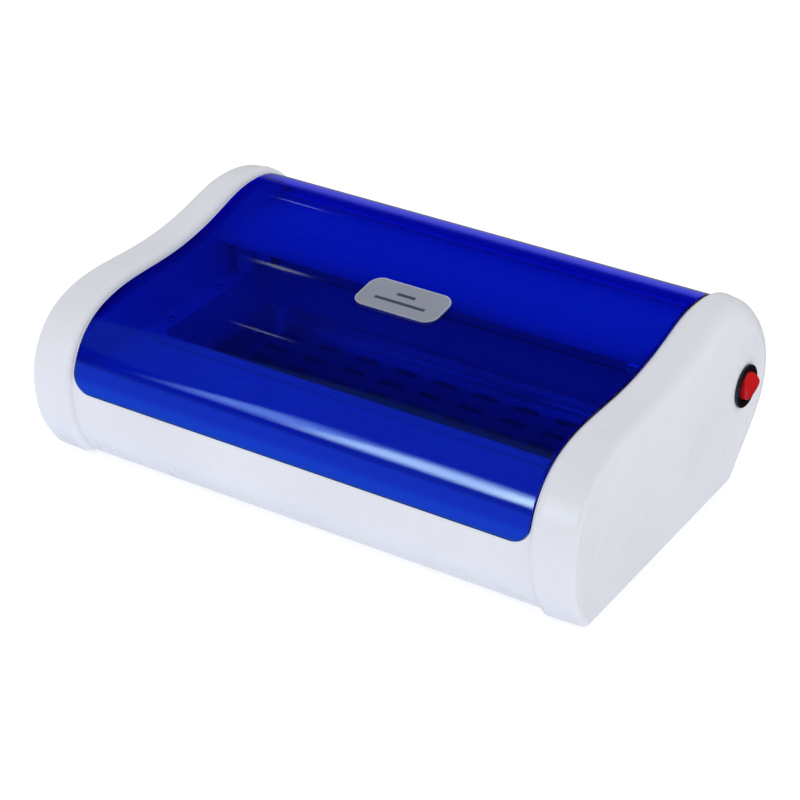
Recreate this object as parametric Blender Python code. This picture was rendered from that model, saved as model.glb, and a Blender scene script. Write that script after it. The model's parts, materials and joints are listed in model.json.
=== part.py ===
"""Table-top UV sterilizer cabinet: white moulded housing, blue hinged lid, lamp, tray and switch.

Metres, +Z up, the front at -Y. The part stands on z = 0, in the middle of its own bounding box.
Side shapes are drawn in the Y-Z plane, measured up from the housing's lower edge, and are
swept or extruded along X.
"""
import math

import bmesh
import bpy
import numpy as np
from mathutils import Matrix, Vector

# Whole cabinet
LENGTH = 0.3794           # over both cheeks, at half depth
HALF_DEPTH = 0.132        # from the middle to the front of the nose
TAPER = 0.0030            # each cheek stands out this much more at the front, and less at the back
OPENING = 0.325           # between the cheeks, where the lid lies
FOOT_HEIGHT = 0.0025      # the housing's lower edge stands this far above the table
MID_X = -0.00055          # the middle of the housing, so that the bounding box is centred
GAP = 0.0003              # between pieces that touch

# Side outline of the cheeks: front base, nose, waist, crest, back, rear base
OUTLINE = (
    (-0.1050, -0.0150), (-0.1130, -0.0030), (-0.1265, 0.0190), (-0.1320, 0.0440),
    (-0.1295, 0.0670), (-0.1200, 0.0845), (-0.1080, 0.0950), (-0.0890, 0.1025),
    (-0.0620, 0.1055), (-0.0300, 0.1060), (0.0000, 0.1095), (0.0240, 0.1155),
    (0.0440, 0.1215), (0.0630, 0.1235), (0.0840, 0.1200), (0.1050, 0.1065),
    (0.1240, 0.0840), (0.1315, 0.0580), (0.1245, 0.0330), (0.1065, 0.0135),
    (0.0900, -0.0010), (0.0800, -0.0110),
)
OUTLINE_STEPS = 64

# Section of the housing along X: middle, step up to the crest of the cheek, outer round
MIDDLE_DROP = 0.0040      # the front panel and the rear wall lie this far inside the crest
NOSE_START = 0.1635       # the cheek rises out of the front panel here
NOSE_WIDTH = 0.0060
NOSE_STEPS = 3
CROWN = 0.0008            # fall of the crest towards the outer round
EDGE_RADIUS = 0.0090      # outer round at half depth
EDGE_GROWTH = 0.0060      # it is this much larger at the back, and smaller at the front
EDGE_STEPS = 5
WALL = 0.0028

# Lid
LID_DROP = 0.0030         # its outer face lies this far inside the crest
LID_THICK = 0.0025
LID_GAP = 0.0008          # between the lid and the step in the front panel
LID_SIDE_GAP = 0.0006
LID_EDGE_Z = 0.0515       # height of its front edge
LID_CORNER = 0.0130       # radius of its two front corners
FLANGE_THICK = 0.0022
FLANGE_DEPTH = 0.0085
FLANGE_START = 0.030      # the side flanges begin this far up from the front edge
FLANGE_RISE = 0.050       # and reach their full depth over this length
BARREL_RADIUS = 0.0045
BARREL_GAP = 0.0008
HINGE_Z = 0.1070          # height where the outline passes over the hinge barrel
OPEN_ANGLE = 100.0        # degrees the lid turns back
PIN_RADIUS = 0.0020
PIN_BORE = 0.0022
PIN_INSET = 0.0090        # how far each hinge pin reaches into the barrel and into the cheek

# Inside of the housing
SHELF_Z = 0.0620          # top of the shelf that carries the chamber tub
SHELF_THICK = 0.0025
UPSTAND_Z = 0.0680        # top of the rim behind the lid's front edge
UPSTAND_THICK = 0.0025
TUB_HALF = 0.1500         # opening in the shelf
TUB_FRONT = -0.0600
TUB_BACK = 0.0660
PARTITION_Y = 0.0760
PARTITION_THICK = 0.0025
ROOF_Z = 0.0960
ROOF_THICK = 0.0025
ROOF_FRONT = 0.0270
ROOF_LIP = 0.0085
ROOF_ROUND = 0.0075         # radius of its rounded front edge
RIB_Z = 0.0040            # ribs and inner walls stop here, above the bottom plate
HINGE_BOSS = 0.0055
WIRE_HOLE = 0.0045

# Bottom plate and feet
PLATE_LOW = 0.0008
PLATE_TOP = 0.0028
FOOT_RADIUS = 0.0080
FOOT_PLACES = ((-0.150, -0.085), (0.150, -0.085), (-0.150, 0.060), (0.150, 0.060))
PLATE_SCREWS = ((-0.174, -0.060), (0.174, -0.060), (-0.174, 0.040), (0.174, 0.040))
BOSS_RADIUS = 0.0040
BOSS_HEIGHT = 0.0200
VENT_LENGTH = 0.0300
VENT_WIDTH = 0.0040
VENT_PITCH = 0.0400

# Screws
SHANK = 0.0012
SHANK_HOLE = 0.0016
HEAD_RADIUS = 0.0028
HEAD_HEIGHT = 0.0016

# Tub and tray
TUB_WALL = 0.0015
TUB_FLOOR = 0.0140
TUB_FLANGE = 0.0060
TUB_CORNER = 0.0120
TUB_GAP = 0.0005
TUB_SCREWS = ((-0.1532, -0.040), (0.1532, -0.040), (-0.1532, 0.010), (0.1532, 0.010))
TRAY_HALF = 0.1450
TRAY_FRONT = -0.0550
TRAY_BACK = 0.0610
TRAY_CORNER = 0.0090
TRAY_THICK = 0.0010
TRAY_RIM = 0.0080
TRAY_LEG = 0.0080
TRAY_LIFT = 0.0250
SLOT_COLUMNS = 9
SLOT_ROWS = 6
SLOT_PITCH_X = 0.0300
SLOT_PITCH_Y = 0.0170
SLOT_LENGTH = 0.0200
SLOT_WIDTH = 0.0060

# Lamp: an 8 W germicidal tube, 16 mm across and 288 mm long, on two 5 mm pin pairs
LAMP_Y = 0.0460
LAMP_Z = 0.0770
LAMP_RADIUS = 0.0080
LAMP_LENGTH = 0.2880
CAP_LENGTH = 0.0120
CAP_WALL = 0.0003
GLASS_RADIUS = 0.0074
GLASS_WALL = 0.0008
BASE_RADIUS = 0.0046
PIN_SPREAD = 0.0025
PIN_REACH = 0.0070
LAMP_PIN = 0.0011
HOLDER_GAP = 0.0006
HOLDER_DEPTH = 0.0140
HOLDER_HALF = 0.0095
HOLDER_POCKET = 0.0050
REFLECTOR_BEND = 0.0120
REFLECTOR_THICK = 0.0006
REFLECTOR_LOW = 0.0680

# Electrical parts behind the chamber
BALLAST_HALF = 0.0450
BALLAST_DEPTH = 0.0260
BALLAST_LOW = 0.0300
BALLAST_HEIGHT = 0.0320
BALLAST_EAR = 0.0120
STARTER_X = -0.1000
STARTER_Y = 0.1000
STARTER_Z = 0.0560
STARTER_RADIUS = 0.0085
STARTER_LENGTH = 0.0330
TERMINAL_X = 0.0950
TERMINAL_Z = 0.0300
WIRE_RADIUS = 0.0010

# Round rocker switch on the right cheek
SWITCH_Y = 0.0870
SWITCH_Z = 0.0603
SWITCH_FACE = 0.1882      # the back of its bezel
BEZEL_RADIUS = 0.0139
BEZEL_HEIGHT = 0.0018
SWITCH_HOLE = 0.0113
SWITCH_BODY = 0.0109
SWITCH_DEPTH = 0.0160
ROCKER_RADIUS = 0.0088
ROCKER_RECESS = 0.0098
ROCKER_RIDGE = 0.0058     # height of the rocker's ridge above the bezel's back
ROCKER_EDGE = 0.0030
ROCKER_ROUND = 0.0022       # half width of its rounded ridge
ROCKER_PIVOT = 0.0030     # its axis lies this far behind the bezel's back
ROCKER_TILT = 8.0         # degrees to each side of the middle

# Badge on the lid
BADGE_HALF = 0.0295
BADGE_MID_Y = -0.0065
BADGE_LENGTH = 0.0296
BADGE_CORNER = 0.0088
BADGE_THICK = 0.0008

# Cord inlet in the rear wall
GLAND_X = 0.120
GLAND_Z = 0.0570
GLAND_RADIUS = 0.0065
GLAND_BORE = 0.0036
GLAND_FACE = 0.1284


def clear_scene():
    for thing in list(bpy.data.objects):
        bpy.data.objects.remove(thing, do_unlink=True)


def material(name, colour, roughness=0.5, metallic=0.0, transmission=0.0):
    """A Principled material for one sub-part."""
    made = bpy.data.materials.new(name)
    made.use_nodes = True
    shader = made.node_tree.nodes["Principled BSDF"]
    shader.inputs["Base Color"].default_value = (*colour, 1.0)
    shader.inputs["Roughness"].default_value = roughness
    shader.inputs["Metallic"].default_value = metallic
    shader.inputs["Transmission Weight"].default_value = transmission
    made.diffuse_color = (*colour, 1.0)
    return made


def finish(name, mesh, colour, smooth=True, **look):
    """Puts a mesh in the scene as the sub-part of that name."""
    part = bpy.data.objects.new(name, mesh)
    bpy.context.collection.objects.link(part)
    mesh.materials.clear()
    mesh.materials.append(material(name, colour, **look))
    if smooth:
        mesh.shade_smooth()
        mesh.set_sharp_from_angle(angle=math.radians(32))
    return part


def to_mesh(shape, name="shape"):
    bmesh.ops.recalc_face_normals(shape, faces=shape.faces)
    mesh = bpy.data.meshes.new(name)
    shape.to_mesh(mesh)
    shape.free()
    return mesh


def combine(mesh, others, operation):
    """Applies exact Booleans to a mesh, one after another, and returns the result."""
    for other in others:
        base = bpy.data.objects.new("base", mesh)
        tool = bpy.data.objects.new("tool", other)
        for thing in (base, tool):
            bpy.context.collection.objects.link(thing)
        step = base.modifiers.new("step", "BOOLEAN")
        step.operation = operation
        step.solver = "EXACT"
        step.object = tool
        graph = bpy.context.evaluated_depsgraph_get()
        mesh = bpy.data.meshes.new_from_object(base.evaluated_get(graph))
        for thing in (base, tool):
            bpy.data.objects.remove(thing, do_unlink=True)
    return mesh


def cut(mesh, *tools):
    return combine(mesh, tools, "DIFFERENCE")


def join(mesh, *tools):
    return combine(mesh, tools, "UNION")


def common(mesh, *tools):
    return combine(mesh, tools, "INTERSECT")


def box(x0, x1, y0, y1, z0, z1):
    shape = bmesh.new()
    middle = Vector(((x0 + x1) / 2, (y0 + y1) / 2, (z0 + z1) / 2))
    size = Matrix.Diagonal((x1 - x0, y1 - y0, z1 - z0, 1.0))
    bmesh.ops.create_cube(shape, size=1.0, matrix=Matrix.Translation(middle) @ size)
    return to_mesh(shape)


def cylinder(start, end, radius, sides=24, end_radius=None):
    """A round bar or cone between two points."""
    start, end = Vector(start), Vector(end)
    along = end - start
    turn = along.to_track_quat("Z", "Y").to_matrix().to_4x4()
    place = Matrix.Translation((start + end) / 2) @ turn
    shape = bmesh.new()
    bmesh.ops.create_cone(
        shape, cap_ends=True, segments=sides, radius1=radius,
        radius2=radius if end_radius is None else end_radius, depth=along.length, matrix=place)
    return to_mesh(shape)


def lathe(profile, centre, axis, sides=32):
    """Turns (radius, distance along the axis) pairs about an axis through a point."""
    turn = Vector(axis).to_track_quat("Z", "Y").to_matrix().to_4x4()
    place = Matrix.Translation(Vector(centre)) @ turn
    shape = bmesh.new()
    rings = []
    for radius, height in profile:
        if radius == 0.0:
            rings.append([shape.verts.new(place @ Vector((0.0, 0.0, height)))])
            continue
        ring = []
        for i in range(sides):
            angle = 2 * math.pi * i / sides
            spot = Vector((radius * math.cos(angle), radius * math.sin(angle), height))
            ring.append(shape.verts.new(place @ spot))
        rings.append(ring)
    pairs = list(zip(rings, rings[1:]))
    if len(rings[0]) > 1:
        pairs.append((rings[-1], rings[0]))
    for low, high in pairs:
        for i in range(sides):
            j = (i + 1) % sides
            corners = [low[i % len(low)], low[j % len(low)], high[j % len(high)], high[i % len(high)]]
            corners = list(dict.fromkeys(corners))
            shape.faces.new(corners)
    return to_mesh(shape)


def prism(points, x0, x1):
    """A Y-Z polygon extruded along X."""
    shape = bmesh.new()
    near = [shape.verts.new((x0, y, z)) for y, z in points]
    far = [shape.verts.new((x1, y, z)) for y, z in points]
    shape.faces.new(near)
    shape.faces.new(far)
    for i in range(len(points)):
        j = (i + 1) % len(points)
        shape.faces.new((near[i], near[j], far[j], far[i]))
    return to_mesh(shape)


def smooth_curve(points, steps):
    """A natural cubic spline through the points, at equal steps of length."""
    points = np.array(points, float)
    knots = np.concatenate(([0.0], np.cumsum(np.linalg.norm(np.diff(points, axis=0), axis=1))))
    gaps = np.diff(knots)
    count = len(points)
    system = np.eye(count)
    slopes = np.zeros_like(points)
    for i in range(1, count - 1):
        system[i, i - 1:i + 2] = gaps[i - 1], 2 * (gaps[i - 1] + gaps[i]), gaps[i]
        rise = (points[i + 1] - points[i]) / gaps[i] - (points[i] - points[i - 1]) / gaps[i - 1]
        slopes[i] = 6 * rise
    bend = np.linalg.solve(system, slopes)
    fine = np.linspace(0.0, knots[-1], 40 * count)
    span = np.clip(np.searchsorted(knots, fine, side="right") - 1, 0, count - 2)
    gap = gaps[span][:, None]
    back = (knots[span + 1] - fine)[:, None]
    ahead = (fine - knots[span])[:, None]
    line = (bend[span] * back ** 3 + bend[span + 1] * ahead ** 3) / (6 * gap)
    line += (points[span] / gap - bend[span] * gap / 6) * back
    line += (points[span + 1] / gap - bend[span + 1] * gap / 6) * ahead
    lengths = np.concatenate(([0.0], np.cumsum(np.linalg.norm(np.diff(line, axis=0), axis=1))))
    even = np.linspace(0.0, lengths[-1], steps + 1)
    return np.column_stack([np.interp(even, lengths, line[:, k]) for k in range(points.shape[1])])


def stations(line):
    """Length along a line at each of its points."""
    return np.concatenate(([0.0], np.cumsum(np.linalg.norm(np.diff(line, axis=0), axis=1))))


def inward(line):
    """Unit normals that point into the cabinet from its side outline."""
    ahead = np.gradient(line, axis=0)
    ahead /= np.linalg.norm(ahead, axis=1)[:, None]
    return np.column_stack((ahead[:, 1], -ahead[:, 0]))


def piece_of(line, start, end, steps):
    """Part of a line between two stations, with its inward normals."""
    at = stations(line)
    normal = inward(line)
    where = np.linspace(start, end, steps + 1)
    spots = np.column_stack([np.interp(where, at, line[:, k]) for k in (0, 1)])
    normals = np.column_stack([np.interp(where, at, normal[:, k]) for k in (0, 1)])
    normals /= np.linalg.norm(normals, axis=1)[:, None]
    return where, spots, normals


def station_at(line, height, front):
    """Station where the outline passes a height, on its front or on its back."""
    at = stations(line)
    top = int(np.argmax(line[:, 1]))
    if front:
        nose = int(np.argmin(line[:, 0]))
        chosen = slice(0, top) if height > line[nose, 1] else slice(0, nose)
        return float(np.interp(height, line[chosen, 1], at[chosen]))
    back = slice(top, len(line))
    return float(np.interp(-height, -line[back, 1], at[back]))


def section_rows(line, inset):
    """Rows of the housing's right half, from the middle out, as X and offset at each point."""
    ones = np.ones(len(line))
    rows = []
    for i in range(NOSE_STEPS + 1):
        angle = 0.5 * math.pi * i / NOSE_STEPS
        x = NOSE_START + NOSE_WIDTH * (1 - math.cos(angle))
        drop = MIDDLE_DROP * (1 - math.sin(angle)) + inset
        rows.append((x * ones, drop * ones))
    depth = line[:, 0] / HALF_DEPTH
    side = LENGTH / 2 - TAPER * depth - inset
    radius = np.maximum(EDGE_RADIUS + EDGE_GROWTH * depth - inset, 0.0005)
    for i in range(EDGE_STEPS + 1):
        angle = 0.5 * math.pi * i / EDGE_STEPS
        x = side - radius * (1 - math.sin(angle))
        rows.append((x, CROWN + inset + radius * (1 - math.cos(angle))))
    return rows


def shell(inset=0.0, low=0.0, high=1.0):
    """The housing's outer form, shrunk by an inset and kept between two heights."""
    line = smooth_curve(OUTLINE, OUTLINE_STEPS)
    normal = inward(line)
    half = section_rows(line, inset)
    rows = [(-x, drop) for x, drop in reversed(half)] + half
    shape = bmesh.new()
    rings = []
    for xs, drops in rows:
        spots = line + normal * drops[:, None]
        rings.append([shape.verts.new((x, y, z)) for x, (y, z) in zip(xs, spots)])
    for one, two in zip(rings, rings[1:]):
        for i in range(len(line)):
            j = (i + 1) % len(line)
            shape.faces.new((one[i], one[j], two[j], two[i]))
    shape.faces.new(rings[0])
    shape.faces.new(rings[-1])
    for height, side in ((low, -1.0), (high, 1.0)):
        everything = list(shape.verts) + list(shape.edges) + list(shape.faces)
        made = bmesh.ops.bisect_plane(
            shape, geom=everything, plane_co=(0.0, 0.0, height), plane_no=(0.0, 0.0, side),
            clear_outer=True)
        rim = [edge for edge in made["geom_cut"] if isinstance(edge, bmesh.types.BMEdge)]
        if rim:
            bmesh.ops.holes_fill(shape, edges=rim, sides=0)
    return to_mesh(shape)


def strip(line, start, end, outer, inner, half_width, steps=64):
    """A plate that follows the outline, with its half width given along its length."""
    where, spots, normals = piece_of(line, start, end, steps)
    shape = bmesh.new()
    rows = []
    for at, spot, normal in zip(where, spots, normals):
        width = half_width(at - start, end - at)
        row = []
        for x, drop in ((-width, outer), (width, outer), (width, inner), (-width, inner)):
            y, z = spot + normal * drop
            row.append(shape.verts.new((x, y, z)))
        rows.append(row)
    for one, two in zip(rows, rows[1:]):
        for i in range(4):
            j = (i + 1) % 4
            shape.faces.new((one[i], one[j], two[j], two[i]))
    shape.faces.new(rows[0])
    shape.faces.new(rows[-1])
    return to_mesh(shape)


def rounded_end(width, radius):
    """Half width of a plate whose first end has round corners."""
    def half(after, _before):
        if after >= radius:
            return width
        short = radius - after
        return width - radius + math.sqrt(max(radius ** 2 - short ** 2, 0.0))
    return half


def rounded_ends(width, radius):
    """Half width of a plate whose two ends have round corners."""
    one_end = rounded_end(width, radius)

    def half(after, before):
        return one_end(min(after, before), 0.0)
    return half


def hinge_centre(line):
    """Where the hinge barrel's axis crosses the side plane, and the station over it."""
    over = station_at(line, HINGE_Z, front=False)
    _, spots, normals = piece_of(line, over, over + 0.001, 1)
    return spots[0] + normals[0] * (LID_DROP + BARREL_RADIUS), over


def hinge_channel(line, steps):
    """Side outline of the room around the barrel, with a slope that the open lid leans back over."""
    hinge, over = hinge_centre(line)
    _, _, normals = piece_of(line, over, over + 0.001, 1)
    rest = math.atan2(-normals[0][1], -normals[0][0])
    leaning = rest - math.radians(OPEN_ANGLE)
    bend = BARREL_RADIUS + BARREL_GAP
    end = math.radians(-140.0)
    angles = [leaning + (end - leaning) * i / steps for i in range(steps + 1)]
    arc = [(hinge[0] + bend * math.cos(angle), hinge[1] + bend * math.sin(angle))
           for angle in angles]
    far = (arc[0][0] - 0.030 * math.sin(leaning), arc[0][1] + 0.030 * math.cos(leaning))
    return [far] + arc


def profile_y(line, height, front=True):
    """Y of the outline at a height."""
    at = station_at(line, height, front)
    return float(np.interp(at, stations(line), line[:, 0]))


def rounded_rectangle(x0, x1, y0, y1, radius, steps=6):
    corners = ((x1 - radius, y1 - radius, 0.0), (x0 + radius, y1 - radius, 0.5),
               (x0 + radius, y0 + radius, 1.0), (x1 - radius, y0 + radius, 1.5))
    loop = []
    for x, y, turn in corners:
        for i in range(steps + 1):
            angle = math.pi * (turn + 0.5 * i / steps)
            loop.append((x + radius * math.cos(angle), y + radius * math.sin(angle)))
    return loop


def stack(loops):
    """A closed body through (loop, height) rings, capped at both ends."""
    shape = bmesh.new()
    rings = [[shape.verts.new((x, y, height)) for x, y in loop] for loop, height in loops]
    for low, high in zip(rings, rings[1:]):
        for i in range(len(low)):
            j = (i + 1) % len(low)
            shape.faces.new((low[i], low[j], high[j], high[i]))
    shape.faces.new(rings[0])
    shape.faces.new(rings[-1])
    return to_mesh(shape)


def pan(x, front, back, floor, rim, wall, corner, flange=0.0):
    """A pressed pan with round corners: outer size, top of its floor, top of its rim."""
    def loop(grow):
        radius = max(corner + grow, 0.001)
        return rounded_rectangle(-x - grow, x + grow, front - grow, back + grow, radius)
    fillet = min(corner, rim - floor) * 0.5
    rings = []
    for i in range(4):
        angle = 0.5 * math.pi * i / 3
        rings.append((loop(-fillet * (1 - math.sin(angle))),
                      floor - wall + fillet * (1 - math.cos(angle))))
    if flange:
        rings += [(loop(0.0), rim - wall), (loop(flange), rim - wall), (loop(flange), rim)]
    else:
        rings.append((loop(0.0), rim))
    rings.append((loop(-wall), rim))
    inner = max(fillet - wall, 0.0005)
    for i in range(4):
        angle = 0.5 * math.pi * i / 3
        rings.append((loop(-wall - inner * (1 - math.cos(angle))),
                      floor + inner * (1 - math.sin(angle))))
    return stack(rings)


def stadium(x, y, length, width, low, high, steps=4):
    """A slot-shaped cutter, long in X."""
    radius = width / 2
    loop = rounded_rectangle(x - length / 2, x + length / 2, y - radius, y + radius,
                             radius - 0.00001, steps)
    return stack([(loop, low), (loop, high)])


def merged(meshes):
    """Several closed shapes as one mesh, for use as one cutter."""
    shape = bmesh.new()
    for mesh in meshes:
        shape.from_mesh(mesh)
    return to_mesh(shape)


def turned(mesh, degrees, axis, centre):
    centre = Vector(centre)
    turn = Matrix.Rotation(math.radians(degrees), 4, axis)
    mesh.transform(Matrix.Translation(centre) @ turn @ Matrix.Translation(-centre))
    return mesh


def holes(places, low, high, radius=SHANK_HOLE):
    return merged([cylinder((x, y, low), (x, y, high), radius, 12) for x, y in places])


def roof_edge(radius, steps=6):
    """The roof's rounded front edge, from its top down, at a radius about its bend."""
    y, z = ROOF_FRONT + ROOF_ROUND, ROOF_Z - ROOF_ROUND
    return [(y - radius * math.sin(0.5 * math.pi * i / steps),
             z + radius * math.cos(0.5 * math.pi * i / steps)) for i in range(steps + 1)]


def make_housing(line):
    """One white moulding: two cheeks, front panel, rear wall, shelf, partition and lamp roof."""
    hinge, _ = hinge_centre(line)
    half = OPENING / 2
    cheek_wall = half + WALL
    inner = LID_DROP + LID_THICK + LID_GAP
    partition_back = PARTITION_Y + PARTITION_THICK
    rooms = box(-0.3, 0.3, -0.3, 0.3, -0.02, RIB_Z)
    rooms = join(rooms, box(-half, half, partition_back, 0.3, -0.01, ROOF_Z - ROOF_THICK))
    for side in (-1, 1):
        ends = sorted((side * cheek_wall, side * 0.3))
        rooms = join(rooms, box(*ends, -0.29, 0.29, -0.015, 0.2))
    body = cut(shell(), common(shell(WALL, -0.004), rooms))
    front_inset = inner + UPSTAND_THICK - MIDDLE_DROP
    front_room = box(-half, half, -0.2, PARTITION_Y, -0.02, SHELF_Z - SHELF_THICK)
    body = cut(body, common(shell(front_inset, -0.004), front_room))

    rim_y = profile_y(line, UPSTAND_Z) + inner + UPSTAND_THICK
    channel = hinge_channel(line, 8)
    chamber = (
        (rim_y, SHELF_Z), (rim_y, UPSTAND_Z), (-0.2, UPSTAND_Z), (-0.2, 0.2),
        (channel[0][0], 0.2), *channel, (channel[-1][0], ROOF_Z),
        *roof_edge(ROOF_ROUND), (ROOF_FRONT, ROOF_Z - ROOF_LIP),
        (ROOF_FRONT + ROOF_THICK, ROOF_Z - ROOF_LIP),
        *reversed(roof_edge(ROOF_ROUND - ROOF_THICK)),
        (PARTITION_Y, ROOF_Z - ROOF_THICK), (PARTITION_Y, SHELF_Z),
    )
    edge = station_at(line, LID_EDGE_Z, front=True)
    rebate = strip(line, edge - LID_SIDE_GAP, edge + 0.040, -0.015, inner,
                   rounded_end(half, LID_CORNER), 40)
    opening = stack([
        (rounded_rectangle(-TUB_HALF, TUB_HALF, TUB_FRONT, TUB_BACK, TUB_CORNER), height)
        for height in (SHELF_Z - 0.010, SHELF_Z + 0.001)])
    body = cut(body, prism(chamber, -half, half), rebate, opening)

    for side in (-1, 1):
        boss_end = side * (half + PIN_INSET + 0.003)
        body = join(body, cylinder(
            (side * (half + 0.0005), *hinge), (boss_end, *hinge), HINGE_BOSS, 16))
        body = cut(body, cylinder(
            (side * (half - 0.001), *hinge), (side * (half + PIN_INSET + GAP), *hinge), PIN_BORE, 16))
    for x, y in PLATE_SCREWS:
        side = math.copysign(1.0, x)
        post = cylinder((x, y, PLATE_TOP + GAP), (x, y, BOSS_HEIGHT), BOSS_RADIUS, 16)
        arm = box(*sorted((side * (cheek_wall - 0.001), x)), y - 0.001, y + 0.001,
                  0.006, BOSS_HEIGHT - 0.001)
        body = join(body, join(post, arm))
    body = cut(body, holes(PLATE_SCREWS, 0.0, 0.012))
    body = cut(body, holes(TUB_SCREWS + holder_screws(), SHELF_Z - 0.010, SHELF_Z + 0.001))
    wire_holes = []
    for side in (-1, 1):
        spot = (side * 0.150, PARTITION_Y)
        wire_holes.append(cylinder(
            (spot[0], spot[1] - 0.004, LAMP_Z - 0.004), (spot[0], spot[1] + 0.006, LAMP_Z - 0.004),
            WIRE_HOLE, 12))
    wire_holes.append(box(half - 0.002, cheek_wall + 0.002, 0.081, 0.099, 0.030, 0.066))
    face = LENGTH / 2
    switch_hole = cylinder((face - 0.010, SWITCH_Y, SWITCH_Z), (face + 0.010, SWITCH_Y, SWITCH_Z),
                           SWITCH_HOLE, 32)
    gland_hole = cylinder((GLAND_X, 0.110, GLAND_Z), (GLAND_X, 0.140, GLAND_Z),
                          GLAND_RADIUS + GAP)
    ballast_holes = [
        cylinder((x, PARTITION_Y - 0.004, z), (x, PARTITION_Y + 0.006, z), SHANK_HOLE, 12)
        for x, z in ballast_screws()]
    reflector_holes = holes(reflector_screws(), ROOF_Z - ROOF_THICK - 0.002, ROOF_Z - 0.0008)
    body = cut(body, merged(wire_holes), switch_hole, gland_hole, merged(ballast_holes),
               reflector_holes)
    finish("housing", body, (0.86, 0.87, 0.92), roughness=0.25)


def holder_screws():
    x = LAMP_LENGTH / 2 + HOLDER_GAP + HOLDER_DEPTH - 0.0042
    return ((-x, LAMP_Y), (x, LAMP_Y))


def ballast_screws():
    x = BALLAST_HALF + BALLAST_EAR / 2
    z = BALLAST_LOW + BALLAST_HEIGHT / 2
    return ((-x, z), (x, z))


def reflector_screws():
    return ((-0.100, 0.0500), (0.100, 0.0500))


def make_screw(name, head, away, length):
    """A slotted screw: the underside of its head, the way the head faces, and its length."""
    profile = ((0.0, -length), (SHANK * 0.6, -length), (SHANK, -length + 0.0012), (SHANK, 0.0),
               (HEAD_RADIUS, 0.0), (HEAD_RADIUS, HEAD_HEIGHT * 0.5),
               (HEAD_RADIUS * 0.7, HEAD_HEIGHT), (0.0, HEAD_HEIGHT))
    slot = box(-0.004, 0.004, -0.0004, 0.0004, HEAD_HEIGHT - 0.0007, HEAD_HEIGHT + 0.001)
    mesh = cut(lathe(profile, (0, 0, 0), (0, 0, 1), 14), turned(slot, 10.0, "Z", (0, 0, 0)))
    turn = Vector((0, 0, 1)).rotation_difference(Vector(away)).to_matrix().to_4x4()
    mesh.transform(Matrix.Translation(head) @ turn)
    finish(name, mesh, (0.62, 0.62, 0.64), roughness=0.35, metallic=1.0)


def make_base():
    """Bottom plate, its screws and the four rubber feet."""
    plate = shell(WALL + 0.0008, PLATE_LOW, PLATE_TOP)
    vents = [stadium(VENT_PITCH * (i - 2.5), y, VENT_LENGTH, VENT_WIDTH, -0.002, 0.006, 2)
             for i in range(6) for y in (-0.075, 0.060)]
    plate = cut(plate, merged(vents), holes(PLATE_SCREWS, -0.002, 0.006))
    finish("bottom_plate", plate, (0.80, 0.81, 0.85), roughness=0.5)
    for number, (x, y) in enumerate(PLATE_SCREWS, 1):
        make_screw(f"plate_screw_{number}", (x, y, PLATE_LOW - GAP), (0, 0, -1), 0.0100)
    foot = ((0.0, PLATE_LOW - GAP), (FOOT_RADIUS, PLATE_LOW - GAP),
            (FOOT_RADIUS * 0.9, 0.0004 - FOOT_HEIGHT), (FOOT_RADIUS * 0.82, -FOOT_HEIGHT),
            (0.0, -FOOT_HEIGHT))
    for number, (x, y) in enumerate(FOOT_PLACES, 1):
        finish(f"foot_{number}", lathe(foot, (x, y, 0.0), (0, 0, 1), 24), (0.05, 0.05, 0.05),
               roughness=0.8)


def make_chamber():
    """Tub in the shelf, its screws, and the perforated tray that stands in it."""
    edge = TUB_GAP
    rim = SHELF_Z + GAP + TUB_WALL
    tub = pan(TUB_HALF - edge, TUB_FRONT + edge, TUB_BACK - edge, TUB_FLOOR, rim, TUB_WALL,
              TUB_CORNER - edge, TUB_FLANGE)
    tub = cut(tub, holes(TUB_SCREWS + holder_screws(), SHELF_Z - 0.002, rim + 0.002))
    finish("chamber_tub", tub, (0.80, 0.81, 0.84), roughness=0.3)
    for number, (x, y) in enumerate(TUB_SCREWS, 1):
        make_screw(f"tub_screw_{number}", (x, y, rim + GAP), (0, 0, 1), 0.0060)

    floor = TUB_FLOOR + GAP + TRAY_LEG + TRAY_THICK
    tray = pan(TRAY_HALF, TRAY_FRONT, TRAY_BACK, floor, floor + TRAY_RIM, TRAY_THICK, TRAY_CORNER)
    middle = (TRAY_FRONT + TRAY_BACK) / 2
    slots = [
        stadium(SLOT_PITCH_X * (i - (SLOT_COLUMNS - 1) / 2),
                middle + SLOT_PITCH_Y * (j - (SLOT_ROWS - 1) / 2),
                SLOT_LENGTH, SLOT_WIDTH, floor - 0.004, floor + 0.004, 1)
        for i in range(SLOT_COLUMNS) for j in range(SLOT_ROWS)]
    tray = cut(tray, merged(slots))
    for x in (-0.1355, 0.1355):
        for y in (middle - 0.0500, middle + 0.0500):
            tray = join(tray, cylinder(
                (x, y, TUB_FLOOR + GAP), (x, y, floor - TRAY_THICK / 2), 0.0030, 12))
    finish("tray", tray, (0.66, 0.67, 0.69), roughness=0.3, metallic=1.0)


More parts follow.
